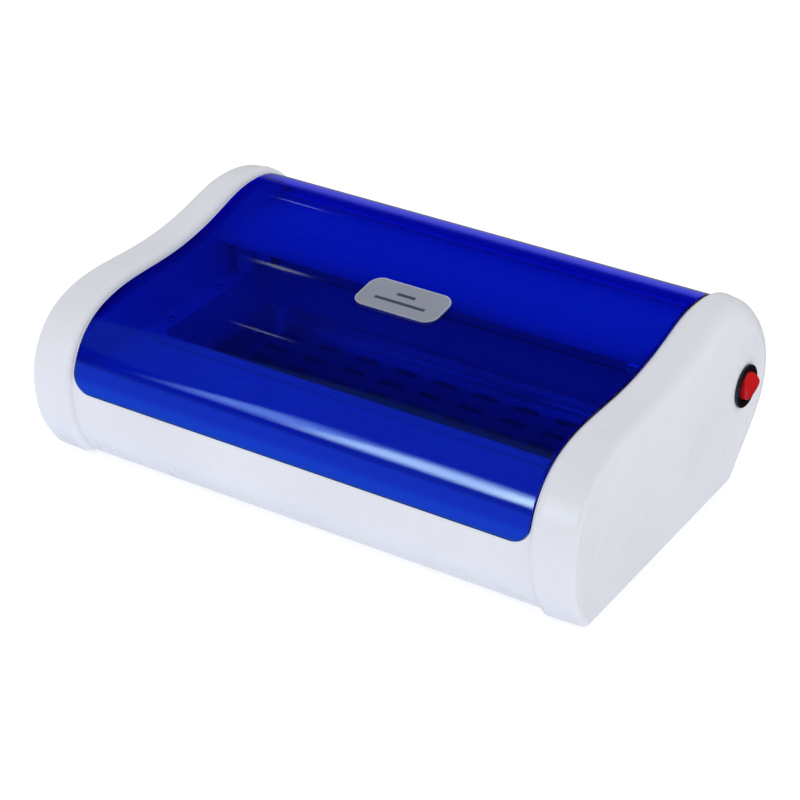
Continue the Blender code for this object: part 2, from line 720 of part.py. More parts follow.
def make_lid(line):
    """Blue lid with side flanges and a hinge barrel, its badge, and the two hinge pins."""
    hinge, over = hinge_centre(line)
    half = OPENING / 2 - LID_SIDE_GAP
    edge = station_at(line, LID_EDGE_Z, front=True)
    mesh = strip(line, edge, over, LID_DROP, LID_DROP + LID_THICK,
                 rounded_end(half, LID_CORNER), 60)
    where, spots, normals = piece_of(line, edge + FLANGE_START, over, 32)
    rise = np.clip((where - where[0]) / FLANGE_RISE, 0.0, 1.0)
    depth = LID_DROP + LID_THICK - 0.0004
    depth = depth + (FLANGE_DEPTH - LID_THICK) * rise ** 2 * (3 - 2 * rise)
    top = spots + normals * (LID_DROP + 0.0006)
    low = spots + normals * depth[:, None]
    outline = [tuple(spot) for spot in top] + [tuple(spot) for spot in low[::-1]]
    for side in (-1, 1):
        ends = sorted((side * half, side * (half - FLANGE_THICK)))
        mesh = join(mesh, prism(outline, *ends))
    mesh = join(mesh, cylinder((-half, *hinge), (half, *hinge), BARREL_RADIUS, 32))
    for side in (-1, 1):
        bore = cylinder((side * (half + 0.001), *hinge),
                        (side * (half - PIN_INSET - 0.001), *hinge), PIN_BORE, 16)
        mesh = cut(mesh, bore)
        pin = cylinder((side * (half - PIN_INSET), *hinge),
                       (side * (OPENING / 2 + PIN_INSET), *hinge), PIN_RADIUS, 16)
        name = "hinge_pin_right" if side > 0 else "hinge_pin_left"
        finish(name, pin, (0.7, 0.7, 0.72), roughness=0.3, metallic=1.0)
    finish("lid", mesh, (0.01, 0.05, 0.72), roughness=0.06, transmission=0.9)

    at = stations(line)
    front_half = slice(0, int(np.argmax(line[:, 1])))
    lower = np.interp(BADGE_MID_Y, line[front_half, 0][20:], at[front_half][20:])
    outer = LID_DROP - GAP - BADGE_THICK
    badge = strip(line, lower - BADGE_LENGTH / 2, lower + BADGE_LENGTH / 2, outer,
                  LID_DROP - GAP, rounded_ends(BADGE_HALF, BADGE_CORNER), 32)
    finish("lid_badge", badge, (0.62, 0.64, 0.68), roughness=0.35, metallic=0.8)


def make_lamp():
    """Germicidal tube with its caps and pins, and the reflector behind it."""
    end = LAMP_LENGTH / 2
    glass_end = end - 0.0022
    bore = GLASS_RADIUS - GLASS_WALL
    glass = lathe(((bore, -glass_end), (GLASS_RADIUS, -glass_end), (GLASS_RADIUS, glass_end),
                   (bore, glass_end)), (0.0, LAMP_Y, LAMP_Z), (1, 0, 0), 24)
    finish("lamp_glass", glass, (0.85, 0.88, 0.95), roughness=0.05, transmission=0.9)
    for side, word in ((-1, "left"), (1, "right")):
        axis = (side, 0, 0)
        centre = (0.0, LAMP_Y, LAMP_Z)
        inner = LAMP_RADIUS - CAP_WALL
        cap = lathe(((inner, end - CAP_LENGTH), (LAMP_RADIUS, end - CAP_LENGTH),
                     (LAMP_RADIUS, end - 0.0006), (LAMP_RADIUS - 0.0006, end),
                     (BASE_RADIUS + GAP, end), (BASE_RADIUS + GAP, end - 0.0012),
                     (inner, end - 0.0012)), centre, axis, 24)
        finish(f"lamp_cap_{word}", cap, (0.75, 0.75, 0.77), roughness=0.3, metallic=1.0)
        base = lathe(((0.0, end - 0.0018), (BASE_RADIUS, end - 0.0018),
                      (BASE_RADIUS, end + 0.0001), (0.0, end + 0.0001)), centre, axis, 24)
        for away in (-1, 1):
            y = LAMP_Y + away * PIN_SPREAD
            base = join(base, cylinder((side * (end - 0.0010), y, LAMP_Z),
                                       (side * (end + PIN_REACH), y, LAMP_Z), LAMP_PIN, 12))
        finish(f"lamp_pins_{word}", base, (0.72, 0.62, 0.40), roughness=0.35, metallic=1.0)
        make_holder(side, word)

    top = ROOF_Z - ROOF_THICK - GAP
    back = PARTITION_Y - 0.0030
    bend = (back - REFLECTOR_BEND, top - REFLECTOR_BEND)

    def skin(radius):
        return [(bend[0] + radius * math.sin(0.5 * math.pi * i / 8),
                 bend[1] + radius * math.cos(0.5 * math.pi * i / 8)) for i in range(9)]
    front = ROOF_FRONT + ROOF_ROUND + 0.0010
    thin = REFLECTOR_THICK
    outside = [(front, top), *skin(REFLECTOR_BEND), (back, REFLECTOR_LOW)]
    inside = [(front, top - thin), *skin(REFLECTOR_BEND - thin), (back - thin, REFLECTOR_LOW)]
    sheet = prism(outside + inside[::-1], -0.138, 0.138)
    sheet = cut(sheet, holes(reflector_screws(), top - 0.002, top + 0.002))
    finish("reflector", sheet, (0.85, 0.86, 0.88), roughness=0.12, metallic=1.0)
    for number, (x, y) in enumerate(reflector_screws(), 1):
        make_screw(f"reflector_screw_{number}", (x, y, top - thin - GAP), (0, 0, -1), 0.0022)


def make_holder(side, word):
    """Lamp holder: a block with a round top, a pocket where the pins turn and a slot above it."""
    start = LAMP_LENGTH / 2 + HOLDER_GAP
    low = SHELF_Z + GAP + TUB_WALL + GAP
    top = [(LAMP_Y + HOLDER_HALF * math.cos(math.pi * i / 12),
            LAMP_Z + HOLDER_HALF * math.sin(math.pi * i / 12)) for i in range(13)]
    outline = [(LAMP_Y - HOLDER_HALF, low), (LAMP_Y + HOLDER_HALF, low), *top]
    block = prism(outline, *sorted((side * start, side * (start + HOLDER_DEPTH))))
    pocket = cylinder((side * (start - 0.001), LAMP_Y, LAMP_Z),
                      (side * (start + PIN_REACH + 0.001), LAMP_Y, LAMP_Z), HOLDER_POCKET, 24)
    slot = box(*sorted((side * (start - 0.001), side * (start + PIN_REACH + 0.001))),
               LAMP_Y - 0.0017, LAMP_Y + 0.0017, LAMP_Z, LAMP_Z + 0.020)
    x = side * holder_screws()[1][0]
    well = cylinder((x, LAMP_Y, low + 0.0040), (x, LAMP_Y, LAMP_Z + 0.020), HEAD_RADIUS + 0.0005, 16)
    shaft = cylinder((x, LAMP_Y, low - 0.001), (x, LAMP_Y, low + 0.0060), SHANK_HOLE, 12)
    block = cut(block, pocket, slot, well, shaft)
    finish(f"lamp_holder_{word}", block, (0.88, 0.88, 0.86), roughness=0.4)
    make_screw(f"holder_screw_{word}", (x, LAMP_Y, low + 0.0040 + GAP), (0, 0, 1), 0.0105)


def rocker_face():
    """Height along the rocker and its rise: two slopes that meet in a rounded ridge."""
    end, low = 0.012, ROCKER_EDGE - 0.0017
    peak = low + (ROCKER_RIDGE - low) * 1.06
    face = [(-end, low)]
    for i in range(7):
        z = ROCKER_ROUND * (i - 3) / 3
        round_off = (peak - low) / end * (ROCKER_ROUND ** 2 + z ** 2) / (2 * ROCKER_ROUND)
        face.append((z, peak - round_off))
    return face + [(end, low)]


def make_switch():
    """Round rocker switch: black body with its bezel, red rocker and two tabs."""
    body = lathe(((0.0, -SWITCH_DEPTH), (SWITCH_BODY, -SWITCH_DEPTH), (SWITCH_BODY, 0.0),
                  (BEZEL_RADIUS, 0.0), (BEZEL_RADIUS, BEZEL_HEIGHT * 0.4),
                  (BEZEL_RADIUS - 0.0010, BEZEL_HEIGHT), (0.0, BEZEL_HEIGHT)),
                 (SWITCH_FACE, SWITCH_Y, SWITCH_Z), (1, 0, 0), 40)
    recess = cylinder((SWITCH_FACE - 0.0100, SWITCH_Y, SWITCH_Z),
                      (SWITCH_FACE + 0.0100, SWITCH_Y, SWITCH_Z), ROCKER_RECESS, 32)
    finish("switch_body", cut(body, recess), (0.02, 0.02, 0.02), roughness=0.35)

    ridge = SWITCH_FACE + ROCKER_RIDGE
    tent = rocker_face()
    low = SWITCH_FACE - 0.0055
    outline = [(SWITCH_Z - 0.012, low)]
    outline += [(SWITCH_Z + z, SWITCH_FACE + x) for z, x in tent]
    outline += [(SWITCH_Z + 0.012, low)]
    shape = bmesh.new()
    rings = []
    for y in (SWITCH_Y - 0.012, SWITCH_Y + 0.012):
        rings.append([shape.verts.new((x, y, z)) for z, x in outline])
        shape.faces.new(rings[-1])
    for i in range(len(outline)):
        j = (i + 1) % len(outline)
        shape.faces.new((rings[0][i], rings[0][j], rings[1][j], rings[1][i]))
    round_bar = lathe(((0.0, -0.0052), (ROCKER_RADIUS * 0.80, -0.0052), (ROCKER_RADIUS, 0.0),
                       (ROCKER_RADIUS, ridge - SWITCH_FACE + 0.002),
                       (0.0, ridge - SWITCH_FACE + 0.002)),
                      (SWITCH_FACE, SWITCH_Y, SWITCH_Z), (1, 0, 0), 32)
    rocker = common(round_bar, to_mesh(shape))
    pivot = (SWITCH_FACE - ROCKER_PIVOT, SWITCH_Y, SWITCH_Z)
    rocker = turned(rocker, -ROCKER_TILT, "Y", pivot)
    rocker.transform(Matrix.Translation(-Vector(pivot)))
    finish("switch_rocker", rocker, (0.80, 0.03, 0.03), roughness=0.25).location = pivot
    for number, z in enumerate((SWITCH_Z - 0.0045, SWITCH_Z + 0.0045), 1):
        back = SWITCH_FACE - SWITCH_DEPTH - GAP
        tab = box(back - 0.0035, back, SWITCH_Y - 0.0024, SWITCH_Y + 0.0024, z - 0.0004, z + 0.0004)
        finish(f"switch_tab_{number}", tab, (0.75, 0.72, 0.6), smooth=False, metallic=1.0)


def make_electrics():
    """Ballast, starter with its socket, terminal block and the cord inlet."""
    wall = PARTITION_Y + PARTITION_THICK + GAP
    high = BALLAST_LOW + BALLAST_HEIGHT
    core = box(-BALLAST_HALF, BALLAST_HALF, wall, wall + BALLAST_DEPTH, BALLAST_LOW, high)
    reach = BALLAST_HALF + BALLAST_EAR
    ears = box(-reach, reach, wall, wall + 0.0015, BALLAST_LOW + 0.008, high - 0.008)
    groove = box(-BALLAST_HALF * 0.4, BALLAST_HALF * 0.4, wall + BALLAST_DEPTH - 0.0015,
                 wall + BALLAST_DEPTH + 0.002, BALLAST_LOW - 0.002, high + 0.002)
    ear_holes = [cylinder((x, wall - 0.002, z), (x, wall + 0.004, z), SHANK_HOLE, 12)
                 for x, z in ballast_screws()]
    core = cut(join(core, ears), groove, merged(ear_holes))
    finish("ballast", core, (0.55, 0.56, 0.58), roughness=0.45, metallic=0.8)
    for number, (x, z) in enumerate(ballast_screws(), 1):
        make_screw(f"ballast_screw_{number}", (x, wall + 0.0015 + GAP, z), (0, 1, 0), 0.0042)

    radius = STARTER_RADIUS
    socket = box(STARTER_X, STARTER_X + 0.010, wall, STARTER_Y + 0.010, STARTER_Z - 0.012,
                 STARTER_Z + 0.012)
    finish("starter_socket", socket, (0.85, 0.85, 0.83), roughness=0.5)
    near = STARTER_X - GAP
    can = lathe(((0.0, 0.0), (radius, 0.0), (radius, STARTER_LENGTH - 0.0015),
                 (radius - 0.0015, STARTER_LENGTH), (0.0, STARTER_LENGTH)),
                (near, STARTER_Y, STARTER_Z), (-1, 0, 0), 24)
    finish("starter", can, (0.82, 0.83, 0.84), roughness=0.4)

    block = box(TERMINAL_X - 0.015, TERMINAL_X + 0.015, wall, wall + 0.012, TERMINAL_Z - 0.008,
                TERMINAL_Z + 0.008)
    wells = [cylinder((TERMINAL_X + 0.010 * i, wall + 0.008, TERMINAL_Z),
                      (TERMINAL_X + 0.010 * i, wall + 0.014, TERMINAL_Z), 0.0026, 12)
             for i in (-1, 0, 1)]
    finish("terminal_block", cut(block, merged(wells)), (0.90, 0.90, 0.88), roughness=0.5)

    ring = lathe(((GLAND_BORE, -0.0080), (GLAND_RADIUS, -0.0080), (GLAND_RADIUS, 0.0),
                  (GLAND_RADIUS + 0.0020, GAP), (GLAND_RADIUS + 0.0016, 0.0020),
                  (GLAND_BORE + 0.0012, 0.0026), (GLAND_BORE, 0.0020)),
                 (GLAND_X, GLAND_FACE, GLAND_Z), (0, 1, 0), 24)
    finish("cord_gland", ring, (0.04, 0.04, 0.04), roughness=0.7)


def make_wire(name, points, colour):
    """An insulated lead along a smooth route."""
    route = [Vector(spot) for spot in smooth_curve(points, 5 * (len(points) - 1))]
    ahead = [(route[min(i + 1, len(route) - 1)] - route[max(i - 1, 0)]).normalized()
             for i in range(len(route))]
    side = ahead[0].orthogonal().normalized()
    shape = bmesh.new()
    rings = []
    for spot, way in zip(route, ahead):
        side = (side - way * side.dot(way)).normalized()
        up = way.cross(side)
        rings.append([
            shape.verts.new(spot + WIRE_RADIUS * (side * math.cos(angle) + up * math.sin(angle)))
            for angle in (math.pi * k / 3 for k in range(6))])
    for one, two in zip(rings, rings[1:]):
        for i in range(6):
            j = (i + 1) % 6
            shape.faces.new((one[i], one[j], two[j], two[i]))
    shape.faces.new(rings[0])
    shape.faces.new(rings[-1])
    finish(name, to_mesh(shape), colour)


def make_wires():
    """Leads of the lamp circuit: inlet, switch, ballast, lamp, starter, lamp, inlet."""
    room = PARTITION_Y + PARTITION_THICK
    tab = SWITCH_FACE - SWITCH_DEPTH - 0.0043
    make_wire("wire_terminal_switch", (
        (TERMINAL_X + 0.010, room + 0.004, TERMINAL_Z + 0.0095), (0.115, room + 0.006, 0.044),
        (0.140, room + 0.009, 0.045), (0.158, room + 0.010, 0.043), (0.1655, 0.0885, 0.046),
        (tab, SWITCH_Y, SWITCH_Z - 0.0060)), (0.45, 0.22, 0.10))
    make_wire("wire_switch_ballast", (
        (tab, SWITCH_Y, SWITCH_Z + 0.0030), (0.1660, 0.0945, 0.054), (0.158, 0.0950, 0.046),
        (0.140, 0.098, 0.053), (0.100, 0.099, 0.056), (0.065, 0.097, 0.054),
        (BALLAST_HALF + 0.0013, 0.0945, 0.052)), (0.05, 0.05, 0.05))
    lead = LAMP_Z - 0.004
    socket = LAMP_Y + HOLDER_HALF + 0.0013
    make_wire("wire_ballast_lamp", (
        (BALLAST_HALF + 0.0013, 0.092, 0.057), (0.070, 0.090, 0.064), (0.110, 0.088, 0.072),
        (0.142, 0.087, 0.0745), (0.1490, 0.0800, lead), (0.1500, 0.0720, lead),
        (0.1500, socket, lead)), (0.70, 0.05, 0.05))
    make_wire("wire_lamp_starter", (
        (0.1530, socket, lead - 0.0026), (0.1515, 0.0720, lead - 0.0024),
        (0.1500, 0.0800, lead - 0.0026), (0.135, 0.092, 0.0690), (0.090, 0.097, 0.0790),
        (0.000, 0.098, 0.0800), (-0.060, 0.099, 0.0750), (STARTER_X + 0.0113, 0.099, 0.060)),
        (0.05, 0.10, 0.55))
    make_wire("wire_starter_lamp", (
        (STARTER_X + 0.0113, 0.096, 0.051), (-0.080, 0.096, 0.040), (-0.090, 0.096, 0.034),
        (-0.115, 0.096, 0.033), (-0.138, 0.093, 0.044), (-0.1485, 0.0860, 0.066),
        (-0.1500, 0.0780, lead), (-0.1500, 0.0700, lead), (-0.1500, socket, lead)),
        (0.85, 0.85, 0.82))
    make_wire("wire_lamp_terminal", (
        (-0.1530, socket, lead - 0.0026), (-0.1515, 0.0720, lead - 0.0024),
        (-0.1500, 0.0800, lead - 0.0030), (-0.144, 0.084, 0.055), (-0.120, 0.086, 0.024),
        (-0.060, 0.088, 0.018), (0.040, 0.088, 0.018), (0.080, 0.086, 0.016),
        (TERMINAL_X, room + 0.005, TERMINAL_Z - 0.0096)), (0.10, 0.30, 0.75))


def main():
    clear_scene()
    line = smooth_curve(OUTLINE, OUTLINE_STEPS)
    make_housing(line)
    make_base()
    make_chamber()
    make_lid(line)
    make_lamp()
    make_switch()
    make_electrics()
    make_wires()
    for part in bpy.data.objects:
        part.location.x += MID_X
        part.location.z += FOOT_HEIGHT


main()
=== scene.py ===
"""Looks of the table-top UV sterilizer cabinet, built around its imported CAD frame.

Metres, +Z up, the front at -Y. Side shapes are drawn in the Y-Z plane, measured up from the
housing's lower edge, and swept or extruded along X, as in the CAD part.
"""

import json
import math

import bmesh
import bpy
import numpy as np
from mathutils import Matrix, Vector


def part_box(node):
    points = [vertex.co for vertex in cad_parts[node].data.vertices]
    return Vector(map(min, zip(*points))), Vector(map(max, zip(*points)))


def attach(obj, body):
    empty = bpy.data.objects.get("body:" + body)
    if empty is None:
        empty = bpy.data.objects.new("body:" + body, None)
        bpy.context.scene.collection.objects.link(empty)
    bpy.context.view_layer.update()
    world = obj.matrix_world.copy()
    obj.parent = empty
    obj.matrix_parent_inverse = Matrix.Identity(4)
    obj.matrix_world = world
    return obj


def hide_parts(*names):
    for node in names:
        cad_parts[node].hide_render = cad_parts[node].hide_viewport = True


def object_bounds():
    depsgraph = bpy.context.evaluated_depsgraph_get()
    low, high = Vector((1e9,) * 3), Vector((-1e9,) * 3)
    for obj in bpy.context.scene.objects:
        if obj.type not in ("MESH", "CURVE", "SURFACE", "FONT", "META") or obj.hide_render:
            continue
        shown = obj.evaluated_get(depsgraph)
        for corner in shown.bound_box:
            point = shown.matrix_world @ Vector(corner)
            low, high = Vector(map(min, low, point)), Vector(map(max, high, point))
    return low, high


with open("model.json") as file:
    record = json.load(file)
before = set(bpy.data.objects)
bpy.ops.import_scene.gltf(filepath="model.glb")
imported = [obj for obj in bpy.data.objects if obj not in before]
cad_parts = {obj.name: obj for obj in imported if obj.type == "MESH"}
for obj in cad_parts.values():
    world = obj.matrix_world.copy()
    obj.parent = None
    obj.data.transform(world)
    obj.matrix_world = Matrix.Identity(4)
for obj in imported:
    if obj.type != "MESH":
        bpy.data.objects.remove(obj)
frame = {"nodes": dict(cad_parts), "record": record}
cad_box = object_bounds()

LID_LOW, LID_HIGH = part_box("lid")
HOUSING_LOW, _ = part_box("housing")
ORIGIN = Vector(((LID_LOW.x + LID_HIGH.x) / 2, 0.0, HOUSING_LOW.z))

# Side outline of the cheeks: front base, nose, waist, crest, back, rear base
OUTLINE = (
    (-0.1050, -0.0150), (-0.1130, -0.0030), (-0.1265, 0.0190), (-0.1320, 0.0440),
    (-0.1295, 0.0670), (-0.1200, 0.0845), (-0.1080, 0.0950), (-0.0890, 0.1025),
    (-0.0620, 0.1055), (-0.0300, 0.1060), (0.0000, 0.1095), (0.0240, 0.1155),
    (0.0440, 0.1215), (0.0630, 0.1235), (0.0840, 0.1200), (0.1050, 0.1065),
    (0.1240, 0.0840), (0.1315, 0.0580), (0.1245, 0.0330), (0.1065, 0.0135),
    (0.0900, -0.0010), (0.0800, -0.0110),
)
OUTLINE_STEPS = 200     # of the housing's outer face
ROOM_STEPS = 80         # of its rooms
LINE_STEPS = 400        # of the line that the lid follows
LENGTH = 0.3794
HALF_DEPTH = 0.132
TAPER = 0.0030
OPENING = 0.325

# Section of the housing
MIDDLE_DROP = 0.0040
NOSE_START = 0.1635
NOSE_WIDTH = 0.0060
NOSE_STEPS = 8
CROWN = 0.0008
EDGE_RADIUS = 0.0090
EDGE_GROWTH = 0.0060
EDGE_STEPS = 12
WALL = 0.0028

# Lid
LID_DROP = 0.0030
LID_THICK = 0.0025
LID_GAP = 0.0008
LID_SIDE_GAP = 0.0006
LID_EDGE_Z = 0.0515
LID_CORNER = 0.0130
LID_ROUND = 0.0006
FLANGE_THICK = 0.0022
FLANGE_DEPTH = 0.0085
FLANGE_START = 0.030
FLANGE_RISE = 0.050
BARREL_RADIUS = 0.0045
BARREL_GAP = 0.0008
HINGE_Z = 0.1070
PIN_BORE = 0.0022
PIN_INSET = 0.0090
OPEN_ANGLE = 100.0
CHANNEL_END = -140.0
CHANNEL_SLOPE = 0.030
CHANNEL_STEPS = 48

# Inside of the housing
SHELF_Z = 0.0620
SHELF_THICK = 0.0025
UPSTAND_Z = 0.0680
UPSTAND_THICK = 0.0025
TUB_HALF = 0.1500
TUB_FRONT = -0.0600
TUB_BACK = 0.0660
TUB_CORNER = 0.0120
PARTITION_Y = 0.0760
PARTITION_THICK = 0.0025
ROOF_Z = 0.0960
ROOF_THICK = 0.0025
ROOF_FRONT = 0.0270
ROOF_LIP = 0.0085
ROOF_ROUND = 0.0075
ROOF_STEPS = 16
RIB_Z = 0.0040
WIRE_HOLE = 0.0045
WIRE_HOLE_X = 0.150
WIRE_HOLE_Z = 0.0730

# Switch, cord inlet
SWITCH_Y = 0.0870
SWITCH_Z = 0.0603
SWITCH_FACE = 0.1882
SWITCH_HOLE = 0.0113
BEZEL_RADIUS = 0.0139
BEZEL_HEIGHT = 0.0018
SWITCH_BODY = 0.0109
SWITCH_DEPTH = 0.0160
ROCKER_RADIUS = 0.0088
ROCKER_RECESS = 0.0098
ROCKER_RIDGE = 0.0058
ROCKER_EDGE = 0.0030
ROCKER_ROUND = 0.0022
ROCKER_PIVOT = 0.0030
ROCKER_TILT = 8.0
SWITCH_ROUND = 0.0007
ROCKER_END = 0.012
GLAND_X = 0.120
GLAND_Z = 0.0570
GLAND_HOLE = 0.0068

# Badge
BADGE_HALF = 0.0295
BADGE_MID_Y = -0.0065
BADGE_LENGTH = 0.0296
BADGE_CORNER = 0.0088
BADGE_THICK = 0.0008
BADGE_GAP = 0.0003
BADGE_RIM = 0.0011
BADGE_BAR = 0.0013
BADGE_BARS = ((0.0042, 0.0065), (-0.0036, 0.0180))  # how far back, and half the length, of each
BADGE_FACE = (0.385, 0.410, 0.500)
BADGE_EDGE = (0.520, 0.550, 0.700)
BADGE_INK = (0.070, 0.095, 0.150)

# Main materials and the floor
WHITE = (0.800, 0.815, 0.882)
LID_COLOUR = (0.075, 0.420, 0.988, 1.0)
LID_DENSITY = 1200.0
FLOOR_HALF = 6.0
FLOOR_TONES = ((0.71, 0.71, 0.715), (0.70, 0.70, 0.705))
FLOOR_GLOW = 0.48

# Camera, in degrees and metres from the middle of the cabinet's base
CAMERA_AZIMUTH = 33.04
CAMERA_ELEVATION = 29.58
CAMERA_PLACE = (0.7344, -1.1386, 0.8026)
CAMERA_LENS = 112.15

# What shiny faces mirror, as radiance by direction: the dark room, a large screen, the table, a
# bright strip on it, a window, a bright wall behind and a small lamp. Spans are in degrees above
# the horizon; each part of the window starts and is full at a compass angle.
ROOM_GLOW = (0.008, 0.008, 0.009)
SCREEN_NORMAL = (-0.789, 0.328, -0.520)
SCREEN_GLOW = (0.055, 0.15, 0.10)
TABLE_GLOW = (0.14, 0.46, 1.16)
TABLE_SPAN = (14.0, 4.0)
NEAR_GLOW = (0.02, 0.35, 1.50)
NEAR_UPPER = (-8.0, -17.0)
NEAR_LOWER = (-36.0, -26.0)
WINDOW_LOWER = (13.5, 21.5)
WINDOW_UPPER = (33.0, 22.0)
WINDOW_GLOWS = (
    (-143.6, -145.2, (2.3, 4.4, 8.5)),
    (-147.0, -148.9, (6.3, 8.6, 7.5)),
    (-151.6, -153.6, (5.4, 6.8, 5.5)),
)
BACK_GLOW = (0.26, 0.27, 0.16)
BACK_SPAN = (22.0, 9.0)
SPOT_PLACE = (-0.527, 0.568, 0.632)
SPOT_GLOW = (3.2, 3.4, 4.0)
SPOT_RADII = (1.2, 0.4)

# How much dimmer than 1 the white tent is in front and overhead
FRONT_DROP = 0.04
TOP_DROP = 0.26


# ---------------------------------------------------------------- mesh tools

def to_mesh(shape, name="shape"):
    bmesh.ops.recalc_face_normals(shape, faces=shape.faces)
    mesh = bpy.data.meshes.new(name)
    shape.to_mesh(mesh)
    shape.free()
    return mesh


def combine(mesh, others, operation):
    """Applies exact Booleans to a mesh, one after another, and returns the result."""
    for other in others:
        base = bpy.data.objects.new("base", mesh)
        tool = bpy.data.objects.new("tool", other)
        for thing in (base, tool):
            bpy.context.collection.objects.link(thing)
        step = base.modifiers.new("step", "BOOLEAN")
        step.operation = operation
        step.solver = "EXACT"
        step.object = tool
        graph = bpy.context.evaluated_depsgraph_get()
        mesh = bpy.data.meshes.new_from_object(base.evaluated_get(graph))
        for thing in (base, tool):
            bpy.data.objects.remove(thing, do_unlink=True)
    return mesh


def cut(mesh, *tools):
    return combine(mesh, tools, "DIFFERENCE")


def join(mesh, *tools):
    return combine(mesh, tools, "UNION")


def common(mesh, *tools):
    return combine(mesh, tools, "INTERSECT")


def merged(meshes):
    """Several closed shapes as one mesh."""
    shape = bmesh.new()
    for mesh in meshes:
        shape.from_mesh(mesh)
    return to_mesh(shape)


def box(x0, x1, y0, y1, z0, z1):
    shape = bmesh.new()
    middle = Vector(((x0 + x1) / 2, (y0 + y1) / 2, (z0 + z1) / 2))
    size = Matrix.Diagonal((x1 - x0, y1 - y0, z1 - z0, 1.0))
    bmesh.ops.create_cube(shape, size=1.0, matrix=Matrix.Translation(middle) @ size)
    return to_mesh(shape)


def cylinder(start, end, radius, sides=48):
    """A round bar between two points."""
    start, end = Vector(start), Vector(end)
    along = end - start
    turn = along.to_track_quat("Z", "Y").to_matrix().to_4x4()
    place = Matrix.Translation((start + end) / 2) @ turn
    shape = bmesh.new()
    bmesh.ops.create_cone(shape, cap_ends=True, segments=sides, radius1=radius, radius2=radius,
                          depth=along.length, matrix=place)
    return to_mesh(shape)


def lathe(profile, centre, axis, sides=64):
    """Turns (radius, distance along the axis) pairs about an axis through a point."""
    turn = Vector(axis).to_track_quat("Z", "Y").to_matrix().to_4x4()
    place = Matrix.Translation(Vector(centre)) @ turn
    shape = bmesh.new()
    rings = []
    for radius, height in profile:
        if radius == 0.0:
            rings.append([shape.verts.new(place @ Vector((0.0, 0.0, height)))])
            continue
        ring = []
        for i in range(sides):
            angle = 2 * math.pi * i / sides
            spot = Vector((radius * math.cos(angle), radius * math.sin(angle), height))
            ring.append(shape.verts.new(place @ spot))
        rings.append(ring)
    pairs = list(zip(rings, rings[1:]))
    if len(rings[0]) > 1:
        pairs.append((rings[-1], rings[0]))
    for low, high in pairs:
        for i in range(sides):
            j = (i + 1) % sides
            corners = [low[i % len(low)], low[j % len(low)],
                       high[j % len(high)], high[i % len(high)]]
            shape.faces.new(list(dict.fromkeys(corners)))
    return to_mesh(shape)


def prism(points, x0, x1):
    """A Y-Z polygon extruded along X."""
    shape = bmesh.new()
    near = [shape.verts.new((x0, y, z)) for y, z in points]
    far = [shape.verts.new((x1, y, z)) for y, z in points]
    shape.faces.new(near)
    shape.faces.new(far)
    for i in range(len(points)):
        j = (i + 1) % len(points)
        shape.faces.new((near[i], near[j], far[j], far[i]))
    return to_mesh(shape)


def rounded_rectangle(x0, x1, y0, y1, radius, steps=12):
    corners = ((x1 - radius, y1 - radius, 0.0), (x0 + radius, y1 - radius, 0.5),
               (x0 + radius, y0 + radius, 1.0), (x1 - radius, y0 + radius, 1.5))
    loop = []
    for x, y, turn in corners:
        for i in range(steps + 1):
            angle = math.pi * (turn + 0.5 * i / steps)
            loop.append((x + radius * math.cos(angle), y + radius * math.sin(angle)))
    return loop


def stack(loops):
    """A closed body through (loop, height) rings, capped at both ends."""
    shape = bmesh.new()
    rings = [[shape.verts.new((x, y, height)) for x, y in loop] for loop, height in loops]
    for low, high in zip(rings, rings[1:]):
        for i in range(len(low)):
            j = (i + 1) % len(low)
            shape.faces.new((low[i], low[j], high[j], high[i]))
    shape.faces.new(rings[0])
    shape.faces.new(rings[-1])
    return to_mesh(shape)


# ---------------------------------------------------------------- outline of the cabinet

def smooth_curve(points, steps):
    """A natural cubic spline through the points, at equal steps of length."""
    points = np.array(points, float)
    knots = np.concatenate(([0.0], np.cumsum(np.linalg.norm(np.diff(points, axis=0), axis=1))))
    gaps = np.diff(knots)
    count = len(points)
    system = np.eye(count)
    slopes = np.zeros_like(points)
    for i in range(1, count - 1):
        system[i, i - 1:i + 2] = gaps[i - 1], 2 * (gaps[i - 1] + gaps[i]), gaps[i]
        rise = (points[i + 1] - points[i]) / gaps[i] - (points[i] - points[i - 1]) / gaps[i - 1]
        slopes[i] = 6 * rise
    bend = np.linalg.solve(system, slopes)
    fine = np.linspace(0.0, knots[-1], 80 * count)
    span = np.clip(np.searchsorted(knots, fine, side="right") - 1, 0, count - 2)
    gap = gaps[span][:, None]
    back = (knots[span + 1] - fine)[:, None]
    ahead = (fine - knots[span])[:, None]
    line = (bend[span] * back ** 3 + bend[span + 1] * ahead ** 3) / (6 * gap)
    line += (points[span] / gap - bend[span] * gap / 6) * back
    line += (points[span + 1] / gap - bend[span + 1] * gap / 6) * ahead
    lengths = np.concatenate(([0.0], np.cumsum(np.linalg.norm(np.diff(line, axis=0), axis=1))))
    even = np.linspace(0.0, lengths[-1], steps + 1)
    return np.column_stack([np.interp(even, lengths, line[:, k]) for k in range(points.shape[1])])


def stations(line):
    """Length along a line at each of its points."""
    return np.concatenate(([0.0], np.cumsum(np.linalg.norm(np.diff(line, axis=0), axis=1))))


def inward(line):
    """Unit normals that point into the cabinet from its side outline."""
    ahead = np.gradient(line, axis=0)
    ahead /= np.linalg.norm(ahead, axis=1)[:, None]
    return np.column_stack((ahead[:, 1], -ahead[:, 0]))


def spots_at(line, where):
    """Points and inward normals of a line at given stations."""
    at = stations(line)
    normal = inward(line)
    spots = np.column_stack([np.interp(where, at, line[:, k]) for k in (0, 1)])
    normals = np.column_stack([np.interp(where, at, normal[:, k]) for k in (0, 1)])
    normals /= np.linalg.norm(normals, axis=1)[:, None]
    return spots, normals


